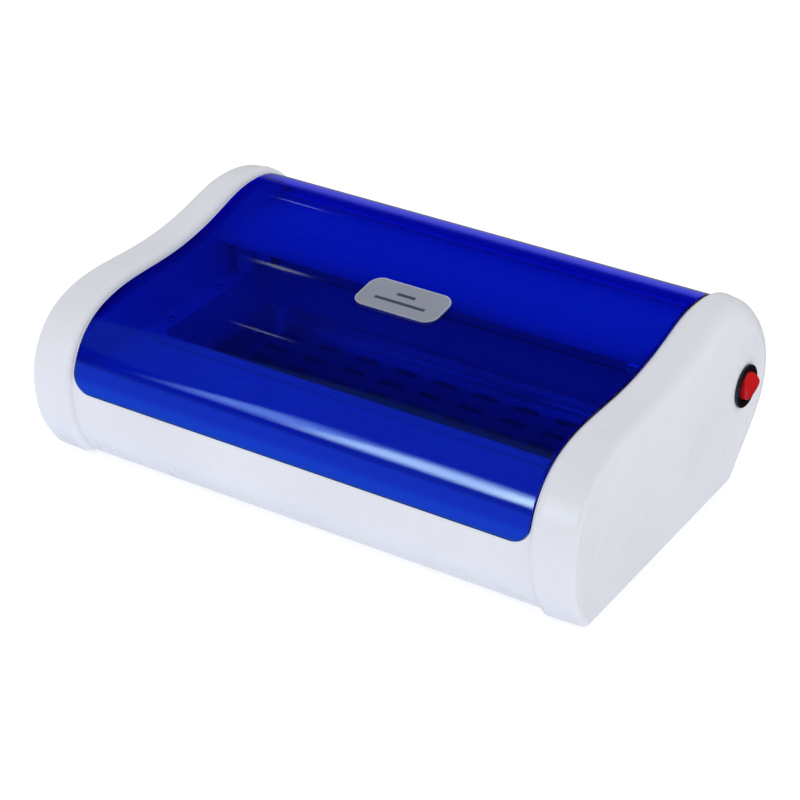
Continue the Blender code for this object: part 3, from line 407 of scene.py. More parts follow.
def station_at(line, height, front):
    """Station where the outline passes a height, on its front or on its back."""
    at = stations(line)
    top = int(np.argmax(line[:, 1]))
    if front:
        nose = int(np.argmin(line[:, 0]))
        chosen = slice(0, top) if height > line[nose, 1] else slice(0, nose)
        return float(np.interp(height, line[chosen, 1], at[chosen]))
    back = slice(top, len(line))
    return float(np.interp(-height, -line[back, 1], at[back]))


def section_rows(line, inset):
    """Rows of the housing's right half, from the middle out, as X and offset at each point."""
    ones = np.ones(len(line))
    rows = []
    for i in range(NOSE_STEPS + 1):
        angle = 0.5 * math.pi * i / NOSE_STEPS
        x = NOSE_START + NOSE_WIDTH * (1 - math.cos(angle))
        drop = MIDDLE_DROP * (1 - math.sin(angle)) + inset
        rows.append((x * ones, drop * ones))
    depth = line[:, 0] / HALF_DEPTH
    side = LENGTH / 2 - TAPER * depth - inset
    radius = np.maximum(EDGE_RADIUS + EDGE_GROWTH * depth - inset, 0.0005)
    for i in range(EDGE_STEPS + 1):
        angle = 0.5 * math.pi * i / EDGE_STEPS
        x = side - radius * (1 - math.sin(angle))
        rows.append((x, CROWN + inset + radius * (1 - math.cos(angle))))
    return rows


def shell(inset=0.0, low=0.0, steps=OUTLINE_STEPS):
    """The housing's outer form, shrunk by an inset and cut off at its lower edge."""
    line = smooth_curve(OUTLINE, steps)
    normal = inward(line)
    half = section_rows(line, inset)
    rows = [(-x, drop) for x, drop in reversed(half)] + half
    shape = bmesh.new()
    rings = []
    for xs, drops in rows:
        spots = line + normal * drops[:, None]
        rings.append([shape.verts.new((x, y, z)) for x, (y, z) in zip(xs, spots)])
    for one, two in zip(rings, rings[1:]):
        for i in range(len(line)):
            j = (i + 1) % len(line)
            shape.faces.new((one[i], one[j], two[j], two[i]))
    shape.faces.new(rings[0])
    shape.faces.new(rings[-1])
    everything = list(shape.verts) + list(shape.edges) + list(shape.faces)
    made = bmesh.ops.bisect_plane(shape, geom=everything, plane_co=(0.0, 0.0, low),
                                  plane_no=(0.0, 0.0, -1.0), clear_outer=True)
    rim = [edge for edge in made["geom_cut"] if isinstance(edge, bmesh.types.BMEdge)]
    bmesh.ops.holes_fill(shape, edges=rim, sides=0)
    return to_mesh(shape)


def quarter(radius, steps):
    """Depths into a rounded edge: dense where it is steep."""
    return [radius * (1 - math.cos(0.5 * math.pi * i / steps)) for i in range(steps + 1)]


def soft_ring(half, top, bottom, soft, steps=4):
    """X and drop around a plate's section with rounded corners."""
    ring = []
    for turn in range(4):
        side = 1 if turn < 2 else -1
        upper = turn in (0, 3)
        for i in range(steps + 1):
            angle = 0.5 * math.pi * i / steps
            if turn in (1, 3):
                angle = 0.5 * math.pi - angle
            x = side * (half - soft + soft * math.sin(angle))
            into = soft - soft * math.cos(angle)
            ring.append((x, top + into if upper else bottom - into))
    return ring


def plate(line, start, end, outer, inner, width, corner, lip, both_ends=False, spacing=0.0015):
    """A plate that follows the outline, with round plan corners and softly rounded edges."""
    length = end - start
    near_end = sorted({round(x, 7) for x in quarter(lip, 4) + quarter(corner, 18)})
    last = [length - x for x in reversed(near_end)] if both_ends else [length]
    count = max(2, int((length - 2 * corner) / spacing))
    middle = np.linspace(near_end[-1], last[0], count + 1)[1:-1]
    depths = near_end + list(middle) + last
    spots, normals = spots_at(line, start + np.array(depths))
    shape = bmesh.new()
    rings = []
    for depth, spot, normal in zip(depths, spots, normals):
        near = min(depth, length - depth) if both_ends else depth
        half = width
        if near < corner:
            half = width - corner + math.sqrt(max(corner ** 2 - (corner - near) ** 2, 0.0))
        fall = 0.0
        if near < lip:
            fall = (lip - math.sqrt(max(lip ** 2 - (lip - near) ** 2, 0.0))) * 0.98
        soft = (lip - fall) * 0.98 + 0.00001
        ring = []
        for x, drop in soft_ring(half, outer + fall, inner - fall, soft):
            y, z = spot + normal * drop
            ring.append(shape.verts.new((x, y, z)))
        rings.append(ring)
    for one, two in zip(rings, rings[1:]):
        for i in range(len(one)):
            j = (i + 1) % len(one)
            shape.faces.new((one[i], one[j], two[j], two[i]))
    shape.faces.new(rings[0])
    shape.faces.new(rings[-1])
    return to_mesh(shape)


def profile_y(line, height):
    """Y of the outline's front at a height."""
    return float(np.interp(station_at(line, height, True), stations(line), line[:, 0]))


def hinge_centre(line):
    """Where the hinge barrel's axis crosses the side plane, and the station over it."""
    over = station_at(line, HINGE_Z, front=False)
    spots, normals = spots_at(line, np.array([over]))
    return spots[0] + normals[0] * (LID_DROP + BARREL_RADIUS), over


def hinge_channel(line, steps):
    """Side outline of the room around the barrel, with a slope for the open lid to lean over."""
    hinge, over = hinge_centre(line)
    _, normals = spots_at(line, np.array([over]))
    rest = math.atan2(-normals[0][1], -normals[0][0])
    leaning = rest - math.radians(OPEN_ANGLE)
    bend = BARREL_RADIUS + BARREL_GAP
    end = math.radians(CHANNEL_END)
    angles = [leaning + (end - leaning) * i / steps for i in range(steps + 1)]
    arc = [(hinge[0] + bend * math.cos(angle), hinge[1] + bend * math.sin(angle))
           for angle in angles]
    far = (arc[0][0] - CHANNEL_SLOPE * math.sin(leaning),
           arc[0][1] + CHANNEL_SLOPE * math.cos(leaning))
    return [far] + arc


# ---------------------------------------------------------------- materials

def math_node(tree, operation, *values):
    """A node of arithmetic in a node tree: numbers are set on it, sockets are linked to it."""
    node = tree.nodes.new("ShaderNodeMath")
    node.operation = operation
    for socket, value in zip(node.inputs, values):
        if isinstance(value, float):
            socket.default_value = value
        else:
            tree.links.new(value, socket)
    return node.outputs[0]


class Nodes:
    """A Principled material under construction."""

    def __init__(self, name):
        self.material = bpy.data.materials.new(name)
        self.material.use_nodes = True
        self.tree = self.material.node_tree
        self.shader = self.tree.nodes["Principled BSDF"]
        self.output = self.tree.nodes["Material Output"]
        self.place = self.add("ShaderNodeTexCoord").outputs["Object"]

    def add(self, kind, **settings):
        node = self.tree.nodes.new(kind)
        for key, value in settings.items():
            if key in node.inputs:
                node.inputs[key].default_value = value
            else:
                setattr(node, key, value)
        return node

    def link(self, start, end):
        self.tree.links.new(start, end)

    def math(self, operation, *values):
        return math_node(self.tree, operation, *values)

    def set(self, **values):
        for key, value in values.items():
            name = key.replace("_", " ")
            if isinstance(value, tuple):
                value = (*value, 1.0)
            self.shader.inputs[name].default_value = value
        return self

    def stretched(self, scale):
        """Object coordinates with their own scale along each axis."""
        mapping = self.add("ShaderNodeMapping")
        mapping.inputs["Scale"].default_value = scale
        self.link(self.place, mapping.inputs["Vector"])
        return mapping.outputs["Vector"]

    def noise(self, scale, detail=3.0, rough=0.55, vector=None):
        node = self.add("ShaderNodeTexNoise")
        node.inputs["Scale"].default_value = scale
        node.inputs["Detail"].default_value = detail
        node.inputs["Roughness"].default_value = rough
        self.link(vector or self.place, node.inputs["Vector"])
        return node.outputs["Fac"]

    def ramp(self, value, low, high, out_low, out_high):
        """Maps a value onto a range, smoothly."""
        node = self.add("ShaderNodeMapRange", interpolation_type="SMOOTHSTEP")
        for key, number in (("From Min", low), ("From Max", high), ("To Min", out_low),
                            ("To Max", out_high)):
            node.inputs[key].default_value = number
        self.link(value, node.inputs["Value"])
        return node.outputs["Result"]

    def tint(self, value, one, two):
        """Mixes two colours by a value and gives the result to the base colour.

        The first is three numbers or the socket of a colour mixed before.
        """
        node = self.add("ShaderNodeMix", data_type="RGBA")
        first, second = [socket for socket in node.inputs if socket.type == "RGBA"]
        if isinstance(one, tuple):
            first.default_value = (*one, 1.0)
        else:
            self.link(one, first)
        second.default_value = (*two, 1.0)
        self.link(value, node.inputs[0])
        result = [socket for socket in node.outputs if socket.type == "RGBA"][0]
        self.link(result, self.shader.inputs["Base Color"])

    def over(self, mask, colour):
        """Lays another colour over the base colour where a mask is 1."""
        self.tint(mask, self.shader.inputs["Base Color"].links[0].from_socket, colour)

    def bump(self, height, distance, strength=1.0):
        node = self.add("ShaderNodeBump")
        node.inputs["Distance"].default_value = distance
        node.inputs["Strength"].default_value = strength
        last = self.shader.inputs["Normal"].links
        if last:
            self.link(last[0].from_socket, node.inputs["Normal"])
        self.link(height, node.inputs["Height"])
        self.link(node.outputs["Normal"], self.shader.inputs["Normal"])


def moulded_plastic(name, colour, roughness, grain=0.00002, scale=900.0, polish=0.5):
    """Injection-moulded plastic: faint flow mottling, uneven polish and a very fine grain."""
    made = Nodes(name)
    shade = tuple(c * 0.955 for c in colour)
    made.tint(made.ramp(made.noise(14.0, 4.0), 0.30, 0.70, 0.0, 1.0), colour, shade)
    smudge = made.ramp(made.noise(45.0, 5.0, 0.6), 0.25, 0.75, roughness * 0.82, roughness * 1.22)
    made.link(smudge, made.shader.inputs["Roughness"])
    made.bump(made.noise(60.0, 2.0), 0.00012, 0.25)
    made.bump(made.noise(scale, 2.0), grain, 0.6)
    made.set(IOR=1.49, Specular_IOR_Level=polish)
    return made.material


def clear_blue(name):
    """Deep blue see-through acrylic: colour from its thickness, faint wipe marks on its polish."""
    made = Nodes(name)
    made.set(Base_Color=(1.0, 1.0, 1.0), Transmission_Weight=1.0, IOR=1.49)
    wipes = made.noise(7.0, 5.0, 0.6, made.stretched((1.0, 6.0, 6.0)))
    made.link(made.ramp(wipes, 0.35, 0.8, 0.025, 0.075), made.shader.inputs["Roughness"])
    made.bump(made.noise(38.0, 2.0), 0.00002, 0.1)
    volume = made.add("ShaderNodeVolumeAbsorption")
    volume.inputs["Color"].default_value = LID_COLOUR
    volume.inputs["Density"].default_value = LID_DENSITY
    made.link(volume.outputs["Volume"], made.output.inputs["Volume"])
    return made.material


def brushed_metal(name, colour, roughness, stretch=(1.0, 40.0, 40.0), scale=60.0,
                  depth=0.00002, metal=1.0):
    """Metal with a directional grain along its short-scaled axis."""
    made = Nodes(name)
    lines = made.noise(scale, 4.0, 0.7, made.stretched(stretch))
    cloud = made.noise(22.0, 3.0)
    dark = tuple(c * 0.86 for c in colour)
    made.tint(made.ramp(cloud, 0.3, 0.7, 0.0, 1.0), colour, dark)
    made.link(made.ramp(lines, 0.2, 0.8, roughness * 0.75, roughness * 1.3),
              made.shader.inputs["Roughness"])
    made.bump(lines, depth, 0.6)
    made.set(Metallic=metal)
    return made.material


def badge_metal(name):
    """Satin silver plate with a paler raised border and two plain engraved bars."""
    made = Nodes(name)
    lines = made.noise(60.0, 4.0, 0.7, made.stretched((1.0, 40.0, 40.0)))
    split = made.add("ShaderNodeSeparateXYZ")
    made.link(made.place, split.inputs[0])
    x, y = split.outputs["X"], split.outputs["Y"]

    def beyond(value, middle, half):
        """How far a coordinate lies beyond a span."""
        away = made.math("ABSOLUTE", made.math("SUBTRACT", value, middle))
        return made.math("SUBTRACT", away, half)

    across = beyond(x, 0.0, BADGE_HALF - BADGE_CORNER)
    along = beyond(y, BADGE_MID_Y, BADGE_LENGTH / 2 - BADGE_CORNER)
    squares = [made.math("POWER", made.math("MAXIMUM", value, 0.0), 2.0)
               for value in (across, along)]
    corner = made.math("SQRT", made.math("ADD", *squares))
    flat = made.math("MINIMUM", made.math("MAXIMUM", across, along), 0.0)
    edge = made.math("ADD", corner, flat)
    rim = made.ramp(edge, BADGE_CORNER - BADGE_RIM, BADGE_CORNER - BADGE_RIM + 0.0003, 0.0, 1.0)
    bars = None
    for middle, half in BADGE_BARS:
        away = made.math("MAXIMUM", beyond(x, 0.0, half),
                         beyond(y, BADGE_MID_Y + middle, BADGE_BAR))
        bar = made.ramp(away, -0.00005, 0.00015, 1.0, 0.0)
        bars = bar if bars is None else made.math("MAXIMUM", bars, bar)
    facing = made.add("ShaderNodeSeparateXYZ")
    made.link(made.add("ShaderNodeTexCoord").outputs["Normal"], facing.inputs[0])
    outside = made.ramp(facing.outputs["Z"], 0.1, 0.3, 0.0, 1.0)
    rim = made.math("MULTIPLY", rim, outside)
    bars = made.math("MULTIPLY", bars, outside)
    made.tint(made.ramp(made.noise(30.0, 3.0), 0.3, 0.7, 0.0, 1.0), BADGE_FACE,
              tuple(c * 0.93 for c in BADGE_FACE))
    made.over(rim, BADGE_EDGE)
    made.over(bars, BADGE_INK)
    made.link(made.ramp(lines, 0.2, 0.8, 0.30, 0.48), made.shader.inputs["Roughness"])
    made.bump(lines, 0.00001, 0.5)
    made.bump(made.math("SUBTRACT", rim, bars), 0.00012, 1.0)
    made.set(Metallic=0.2)
    return made.material


def plated_metal(name, colour, roughness):
    """Small plated hardware: slight mottling and tiny pits."""
    made = Nodes(name)
    made.tint(made.ramp(made.noise(500.0, 3.0), 0.35, 0.7, 0.0, 1.0), colour,
              tuple(c * 0.8 for c in colour))
    made.link(made.ramp(made.noise(900.0, 3.0), 0.3, 0.7, roughness * 0.7, roughness * 1.4),
              made.shader.inputs["Roughness"])
    made.bump(made.noise(1400.0, 2.0), 0.00003, 0.5)
    made.set(Metallic=1.0)
    return made.material


def rubber(name, colour):
    made = Nodes(name)
    made.tint(made.ramp(made.noise(160.0, 4.0), 0.3, 0.75, 0.0, 1.0), colour,
              tuple(min(1.0, c * 1.8 + 0.01) for c in colour))
    made.link(made.ramp(made.noise(400.0, 3.0), 0.3, 0.7, 0.55, 0.85),
              made.shader.inputs["Roughness"])
    made.bump(made.noise(1500.0, 2.0), 0.00006, 0.7)
    return made.material


def wire_skin(name, colour):
    made = Nodes(name)
    made.tint(made.ramp(made.noise(240.0, 3.0), 0.3, 0.7, 0.0, 1.0), colour,
              tuple(c * 0.8 for c in colour))
    made.link(made.ramp(made.noise(300.0, 3.0), 0.3, 0.7, 0.35, 0.55),
              made.shader.inputs["Roughness"])
    made.bump(made.noise(1200.0, 2.0), 0.00003, 0.5)
    return made.material


def clear_glass(name):
    made = Nodes(name)
    made.set(Base_Color=(0.97, 0.98, 1.0), Transmission_Weight=1.0, IOR=1.46)
    made.link(made.ramp(made.noise(80.0, 3.0), 0.3, 0.8, 0.02, 0.08),
              made.shader.inputs["Roughness"])
    made.bump(made.noise(120.0, 2.0), 0.00004, 0.3)
    return made.material


# ---------------------------------------------------------------- pieces

def soften(mesh, angle, bevel):
    """Smooth shading that keeps wide faces flat and edges above an angle crisp."""
    mesh.shade_smooth()
    mesh.set_sharp_from_angle(angle=math.radians(angle))
    holder = bpy.data.objects.new("soften", mesh)
    bpy.context.collection.objects.link(holder)
    if bevel:
        rounded = holder.modifiers.new("rounded", "BEVEL")
        rounded.width = bevel
        rounded.segments = 4
        rounded.limit_method = "ANGLE"
        rounded.angle_limit = math.radians(angle)
    weighted = holder.modifiers.new("weighted", "WEIGHTED_NORMAL")
    weighted.mode = "FACE_AREA"
    weighted.keep_sharp = True
    graph = bpy.context.evaluated_depsgraph_get()
    mesh = bpy.data.meshes.new_from_object(holder.evaluated_get(graph))
    bpy.data.objects.remove(holder, do_unlink=True)
    return mesh


def show(name, mesh, look, body, slot, *nodes, angle=35.0, bevel=0.0):
    """Puts a finished mesh in the frame: its material, its body and the CAD nodes it stands for."""
    mesh = soften(mesh, angle, bevel)
    piece = bpy.data.objects.new(name, mesh)
    bpy.context.collection.objects.link(piece)
    mesh.materials.clear()
    mesh.materials.append(look)
    piece.location = ORIGIN
    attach(piece, body)
    if nodes:
        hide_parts(*nodes)
    return piece


def roof_edge(radius, steps=ROOF_STEPS):
    """The roof's rounded front edge, from its top down, at a radius about its bend."""
    y, z = ROOF_FRONT + ROOF_ROUND, ROOF_Z - ROOF_ROUND
    return [(y - radius * math.sin(0.5 * math.pi * i / steps),
             z + radius * math.cos(0.5 * math.pi * i / steps)) for i in range(steps + 1)]


def make_housing(line, look):
    """The white moulding, with the same walls, shelf, roof and openings as the CAD housing."""
    hinge, _ = hinge_centre(line)
    half = OPENING / 2
    cheek_wall = half + WALL
    inner = LID_DROP + LID_THICK + LID_GAP
    partition_back = PARTITION_Y + PARTITION_THICK
    rooms = box(-0.3, 0.3, -0.3, 0.3, -0.02, RIB_Z)
    rooms = join(rooms, box(-half, half, partition_back, 0.3, -0.01, ROOF_Z - ROOF_THICK))
    for side in (-1, 1):
        ends = sorted((side * cheek_wall, side * 0.3))
        rooms = join(rooms, box(*ends, -0.29, 0.29, -0.015, 0.2))
    body = cut(shell(), common(shell(WALL, -0.004, ROOM_STEPS), rooms))
    front_inset = inner + UPSTAND_THICK - MIDDLE_DROP
    front_room = box(-half, half, -0.2, PARTITION_Y, -0.02, SHELF_Z - SHELF_THICK)
    body = cut(body, common(shell(front_inset, -0.004, ROOM_STEPS), front_room))

    rim_y = profile_y(line, UPSTAND_Z) + inner + UPSTAND_THICK
    channel = hinge_channel(line, CHANNEL_STEPS)
    chamber = (
        (rim_y, SHELF_Z), (rim_y, UPSTAND_Z), (-0.2, UPSTAND_Z), (-0.2, 0.2),
        (channel[0][0], 0.2), *channel, (channel[-1][0], ROOF_Z),
        *roof_edge(ROOF_ROUND), (ROOF_FRONT, ROOF_Z - ROOF_LIP),
        (ROOF_FRONT + ROOF_THICK, ROOF_Z - ROOF_LIP),
        *reversed(roof_edge(ROOF_ROUND - ROOF_THICK)),
        (PARTITION_Y, ROOF_Z - ROOF_THICK), (PARTITION_Y, SHELF_Z),
    )
    edge = station_at(line, LID_EDGE_Z, front=True)
    rebate = plate(line, edge - LID_SIDE_GAP, edge + 0.040, -0.015, inner, half,
                   LID_CORNER + LID_SIDE_GAP, 0.0003)
    opening = stack([
        (rounded_rectangle(-TUB_HALF, TUB_HALF, TUB_FRONT, TUB_BACK, TUB_CORNER), height)
        for height in (SHELF_Z - 0.010, SHELF_Z + 0.001)])
    body = cut(body, prism(chamber, -half, half), rebate, opening)
    switch_hole = cylinder((LENGTH / 2 - 0.010, SWITCH_Y, SWITCH_Z),
                           (LENGTH / 2 + 0.010, SWITCH_Y, SWITCH_Z), SWITCH_HOLE)
    gland_hole = cylinder((GLAND_X, 0.110, GLAND_Z), (GLAND_X, 0.140, GLAND_Z), GLAND_HOLE)
    holes = [cylinder((side * (half - 0.001), *hinge), (side * (half + PIN_INSET), *hinge),
                      PIN_BORE, 24) for side in (-1, 1)]
    for side in (-1, 1):
        x = side * WIRE_HOLE_X
        holes.append(cylinder((x, PARTITION_Y - 0.004, WIRE_HOLE_Z),
                              (x, PARTITION_Y + 0.006, WIRE_HOLE_Z), WIRE_HOLE, 32))
    body = cut(body, switch_hole, gland_hole, merged(holes))
    # The finer curve would stand out a little past the CAD's at the back
    for vertex in body.vertices:
        vertex.co.y = min(vertex.co.y, cad_box[1][1])
    show("cabinet_moulding", body, look, "cabinet", "white_plastic", "housing", angle=28.0)


def make_lid(line, look, badge_look):
    """The blue lid with its side flanges and barrel, and the badge on it."""
    hinge, over = hinge_centre(line)
    half = OPENING / 2 - LID_SIDE_GAP
    edge = station_at(line, LID_EDGE_Z, front=True)
    mesh = plate(line, edge, over, LID_DROP, LID_DROP + LID_THICK, half, LID_CORNER, LID_ROUND)
    where = np.linspace(edge + FLANGE_START, over, 120)
    spots, normals = spots_at(line, where)
    rise = np.clip((where - where[0]) / FLANGE_RISE, 0.0, 1.0)
    depth = LID_DROP + LID_THICK - 0.0004
    depth = depth + (FLANGE_DEPTH - LID_THICK) * rise ** 2 * (3 - 2 * rise)
    top = spots + normals * (LID_DROP + 0.0008)
    low = spots + normals * depth[:, None]
    outline = [tuple(spot) for spot in top] + [tuple(spot) for spot in low[::-1]]
    for side in (-1, 1):
        ends = sorted((side * (half - 0.0001), side * (half - FLANGE_THICK)))
        mesh = join(mesh, prism(outline, *ends))
    mesh = join(mesh, cylinder((-half, *hinge), (half, *hinge), BARREL_RADIUS, 64))
    for side in (-1, 1):
        bore = cylinder((side * (half + 0.001), *hinge),
                        (side * (half - PIN_INSET - 0.001), *hinge), PIN_BORE, 24)
        mesh = cut(mesh, bore)
    show("lid_moulding", mesh, look, "lid", "lid_plastic", "lid", angle=32.0)

    at = stations(line)
    front = slice(20, int(np.argmax(line[:, 1])))
    middle = float(np.interp(BADGE_MID_Y, line[front, 0], at[front]))
    low_end, high_end = middle - BADGE_LENGTH / 2, middle + BADGE_LENGTH / 2
    top = LID_DROP - BADGE_GAP - BADGE_THICK
    badge = plate(line, low_end, high_end, top, LID_DROP - BADGE_GAP, BADGE_HALF, BADGE_CORNER,
                  0.00025, both_ends=True, spacing=0.0006)
    show("badge_plate", badge, badge_look, "lid", "badge_metal", "lid_badge", angle=50.0)


def make_switch(black, red):
    """Round switch body with its bezel, and the rocker with a rounded ridge."""
    centre = (SWITCH_FACE, SWITCH_Y, SWITCH_Z)
    profile = [(0.0, -SWITCH_DEPTH), (SWITCH_BODY, -SWITCH_DEPTH), (SWITCH_BODY, 0.0),
               (BEZEL_RADIUS, 0.0), (BEZEL_RADIUS, BEZEL_HEIGHT * 0.4)]
    for i in range(1, 7):
        angle = 0.5 * math.pi * i / 6
        profile.append((BEZEL_RADIUS - 0.0010 * (1 - math.cos(angle)),
                        BEZEL_HEIGHT * (0.4 + 0.6 * math.sin(angle))))
    for i in range(7):
        angle = 0.5 * math.pi * i / 6
        profile.append((ROCKER_RECESS + SWITCH_ROUND * (1 - math.sin(angle)),
                        BEZEL_HEIGHT - SWITCH_ROUND * (1 - math.cos(angle))))
    profile += [(ROCKER_RECESS, -0.0100), (0.0, -0.0100)]
    show("switch_case", lathe(profile, centre, (1, 0, 0), 96), black, "cabinet", "switch_black",
         "switch_body", angle=40.0)

    end, low = ROCKER_END, ROCKER_EDGE - 0.0017
    peak = low + (ROCKER_RIDGE - low) * 1.06
    outline = [(SWITCH_Z - end, SWITCH_FACE - 0.0055), (SWITCH_Z - end, SWITCH_FACE + low)]
    for i in range(17):
        z = ROCKER_ROUND * (i - 8) / 8
        drop = (peak - low) / end * (ROCKER_ROUND ** 2 + z ** 2) / (2 * ROCKER_ROUND)
        outline.append((SWITCH_Z + z, SWITCH_FACE + peak - drop))
    outline += [(SWITCH_Z + end, SWITCH_FACE + low), (SWITCH_Z + end, SWITCH_FACE - 0.0055)]
    shape = bmesh.new()
    rings = []
    for y in (SWITCH_Y - end, SWITCH_Y + end):
        rings.append([shape.verts.new((x, y, z)) for z, x in outline])
        shape.faces.new(rings[-1])
    for i in range(len(outline)):
        j = (i + 1) % len(outline)
        shape.faces.new((rings[0][i], rings[0][j], rings[1][j], rings[1][i]))
    bar = lathe(((0.0, -0.0052), (ROCKER_RADIUS * 0.80, -0.0052), (ROCKER_RADIUS, 0.0),
                 (ROCKER_RADIUS, ROCKER_RIDGE + 0.002), (0.0, ROCKER_RIDGE + 0.002)),
                centre, (1, 0, 0), 96)
    rocker = common(bar, to_mesh(shape))
    pivot = Vector((SWITCH_FACE - ROCKER_PIVOT, SWITCH_Y, SWITCH_Z))
    tilt = Matrix.Rotation(-math.radians(ROCKER_TILT), 4, "Y")
    rocker.transform(Matrix.Translation(pivot) @ tilt @ Matrix.Translation(-pivot))
    show("rocker_cap", rocker, red, "rocker", "rocker_red", "switch_rocker", angle=30.0,
         bevel=SWITCH_ROUND)


# ---------------------------------------------------------------- stage, lights, camera

def make_stage():
    floor_look = Nodes("floor_paper")
    floor_look.tint(floor_look.ramp(floor_look.noise(3.0, 2.0), 0.3, 0.7, 0.0, 1.0),
                    *FLOOR_TONES)
    floor_look.set(Roughness=0.9, Specular_IOR_Level=0.0, Emission_Color=(1.0, 1.0, 1.0),
                   Emission_Strength=FLOOR_GLOW)
    shape = bmesh.new()
    corners = [shape.verts.new((x * FLOOR_HALF, y * FLOOR_HALF, 0.0))
               for x, y in ((-1, -1), (1, -1), (1, 1), (-1, 1))]
    shape.faces.new(corners)
    mesh = bpy.data.meshes.new("floor")
    shape.to_mesh(mesh)
    shape.free()
    mesh.materials.append(floor_look.material)
    floor = bpy.data.objects.new("floor", mesh)
    bpy.context.collection.objects.link(floor)
    floor.visible_glossy = False


class Sky:
    """The studio's surroundings as radiance by direction."""

    def __init__(self, world):
        world.use_nodes = True
        self.tree = world.node_tree
        self.tree.nodes.clear()
        self.output = self.tree.nodes.new("ShaderNodeOutputWorld")
        self.way = self.tree.nodes.new("ShaderNodeTexCoord").outputs["Generated"]
        split = self.tree.nodes.new("ShaderNodeSeparateXYZ")
        self.tree.links.new(self.way, split.inputs[0])
        self.x, self.y, self.z = split.outputs
        self.height = self.math("ARCSINE", self.z)
        self.turn = self.math("ARCTAN2", self.x, self.y)
        self.total = None

    def math(self, operation, *values):
        return math_node(self.tree, operation, *values)

    def step(self, value, low, high):
        """Rises smoothly from 0 at low to 1 at high, or falls where low is above high."""
        node = self.tree.nodes.new("ShaderNodeMapRange")
        node.interpolation_type = "SMOOTHSTEP"
        falls = low > high
        node.inputs["From Min"].default_value = min(low, high)
        node.inputs["From Max"].default_value = max(low, high)
        node.inputs["To Min"].default_value = 1.0 if falls else 0.0
        node.inputs["To Max"].default_value = 0.0 if falls else 1.0
        self.tree.links.new(value, node.inputs["Value"])
        return node.outputs["Result"]

    def degrees(self, value, low, high):
        return self.step(value, math.radians(low), math.radians(high))

    def side_of(self, normal):
        """Cosine of the angle to a direction."""
        node = self.tree.nodes.new("ShaderNodeVectorMath")
        node.operation = "DOT_PRODUCT"
        node.inputs[1].default_value = normal
        self.tree.links.new(self.way, node.inputs[0])
        return node.outputs["Value"]

    def shine(self, colour, amount=None):
        """Adds a glow of a colour, where an amount lets it, to the total."""
        scaled = self.tree.nodes.new("ShaderNodeVectorMath")
        scaled.operation = "SCALE"
        scaled.inputs[0].default_value = colour
        scaled.inputs["Scale"].default_value = 1.0
        if amount is not None:
            self.tree.links.new(amount, scaled.inputs["Scale"])
        added = self.tree.nodes.new("ShaderNodeVectorMath")
        added.operation = "ADD"
        added.inputs[0].default_value = (0.0, 0.0, 0.0)
        if self.total is not None:
            self.tree.links.new(self.total, added.inputs[0])
        self.tree.links.new(scaled.outputs[0], added.inputs[1])
        self.total = added.outputs[0]

    def background(self, colour, strength=None):
        node = self.tree.nodes.new("ShaderNodeBackground")
        node.inputs["Strength"].default_value = 1.0
        if isinstance(colour, tuple):
            node.inputs["Color"].default_value = (*colour, 1.0)
        else:
            self.tree.links.new(colour, node.inputs["Color"])
        if strength is not None:
            self.tree.links.new(strength, node.inputs["Strength"])
        return node.outputs[0]


def make_world():
    """A white tent for the soft fill; mirror reflections see a dim room and its lights."""
    world = bpy.data.worlds.new("studio")
    bpy.context.scene.world = world
    sky = Sky(world)
    both = "MULTIPLY"
    front = sky.step(sky.y, 0.25, 0.10)
    screen = sky.math(both, sky.step(sky.side_of(SCREEN_NORMAL), 0.004, -0.004), front)
    table = sky.math(both, sky.degrees(sky.height, *TABLE_SPAN), front)
    screen = sky.math(both, screen, sky.math("SUBTRACT", 1.0, table))
    near = sky.math(both, sky.degrees(sky.height, *NEAR_UPPER), front)
    near = sky.math(both, near, sky.degrees(sky.height, *NEAR_LOWER))
    window = sky.math(both, sky.degrees(sky.height, *WINDOW_LOWER),
                      sky.degrees(sky.height, *WINDOW_UPPER))
    behind = sky.math(both, sky.step(sky.y, 0.0, 0.4), sky.step(sky.x, 0.1, -0.2))
    behind = sky.math(both, behind, sky.degrees(sky.height, *BACK_SPAN))
    spot = sky.step(sky.side_of(SPOT_PLACE), *(math.cos(math.radians(r)) for r in SPOT_RADII))
    sky.shine(ROOM_GLOW)
    sky.shine(SCREEN_GLOW, screen)
    sky.shine(TABLE_GLOW, table)
    sky.shine(NEAR_GLOW, near)
    for start, full, colour in WINDOW_GLOWS:
        sky.shine(colour, sky.math(both, window, sky.degrees(sky.turn, start, full)))
    sky.shine(BACK_GLOW, behind)
    sky.shine(SPOT_GLOW, spot)
    mirrored = sky.background(sky.total)
    forward = sky.math("SUBTRACT", 1.0, sky.math(both, sky.step(sky.y, -0.1, -0.9), FRONT_DROP))
    dimmed = sky.math(both, sky.step(sky.z, 0.35, 0.95), TOP_DROP)
    tent = sky.background((1.0, 1.0, 1.0), sky.math("SUBTRACT", forward, dimmed))
    path = sky.tree.nodes.new("ShaderNodeLightPath")
    bounced = sky.math(both, path.outputs["Is Glossy Ray"],
                       sky.math("SUBTRACT", 1.0, path.outputs["Is Transmission Ray"]))
    mix = sky.tree.nodes.new("ShaderNodeMixShader")
    sky.tree.links.new(bounced, mix.inputs[0])
    sky.tree.links.new(tent, mix.inputs[1])
    sky.tree.links.new(mirrored, mix.inputs[2])
    sky.tree.links.new(mix.outputs[0], sky.output.inputs["Surface"])


def make_camera():
    camera = bpy.data.cameras.new("camera")
    camera.lens = CAMERA_LENS
    camera.sensor_width = 36.0
    camera.clip_end = 50.0
    holder = bpy.data.objects.new("camera", camera)
    bpy.context.collection.objects.link(holder)
    holder.location = Vector(CAMERA_PLACE) + ORIGIN
    holder.rotation_euler = (math.radians(90.0 - CAMERA_ELEVATION), 0.0,
                             math.radians(CAMERA_AZIMUTH))
    bpy.context.scene.camera = holder


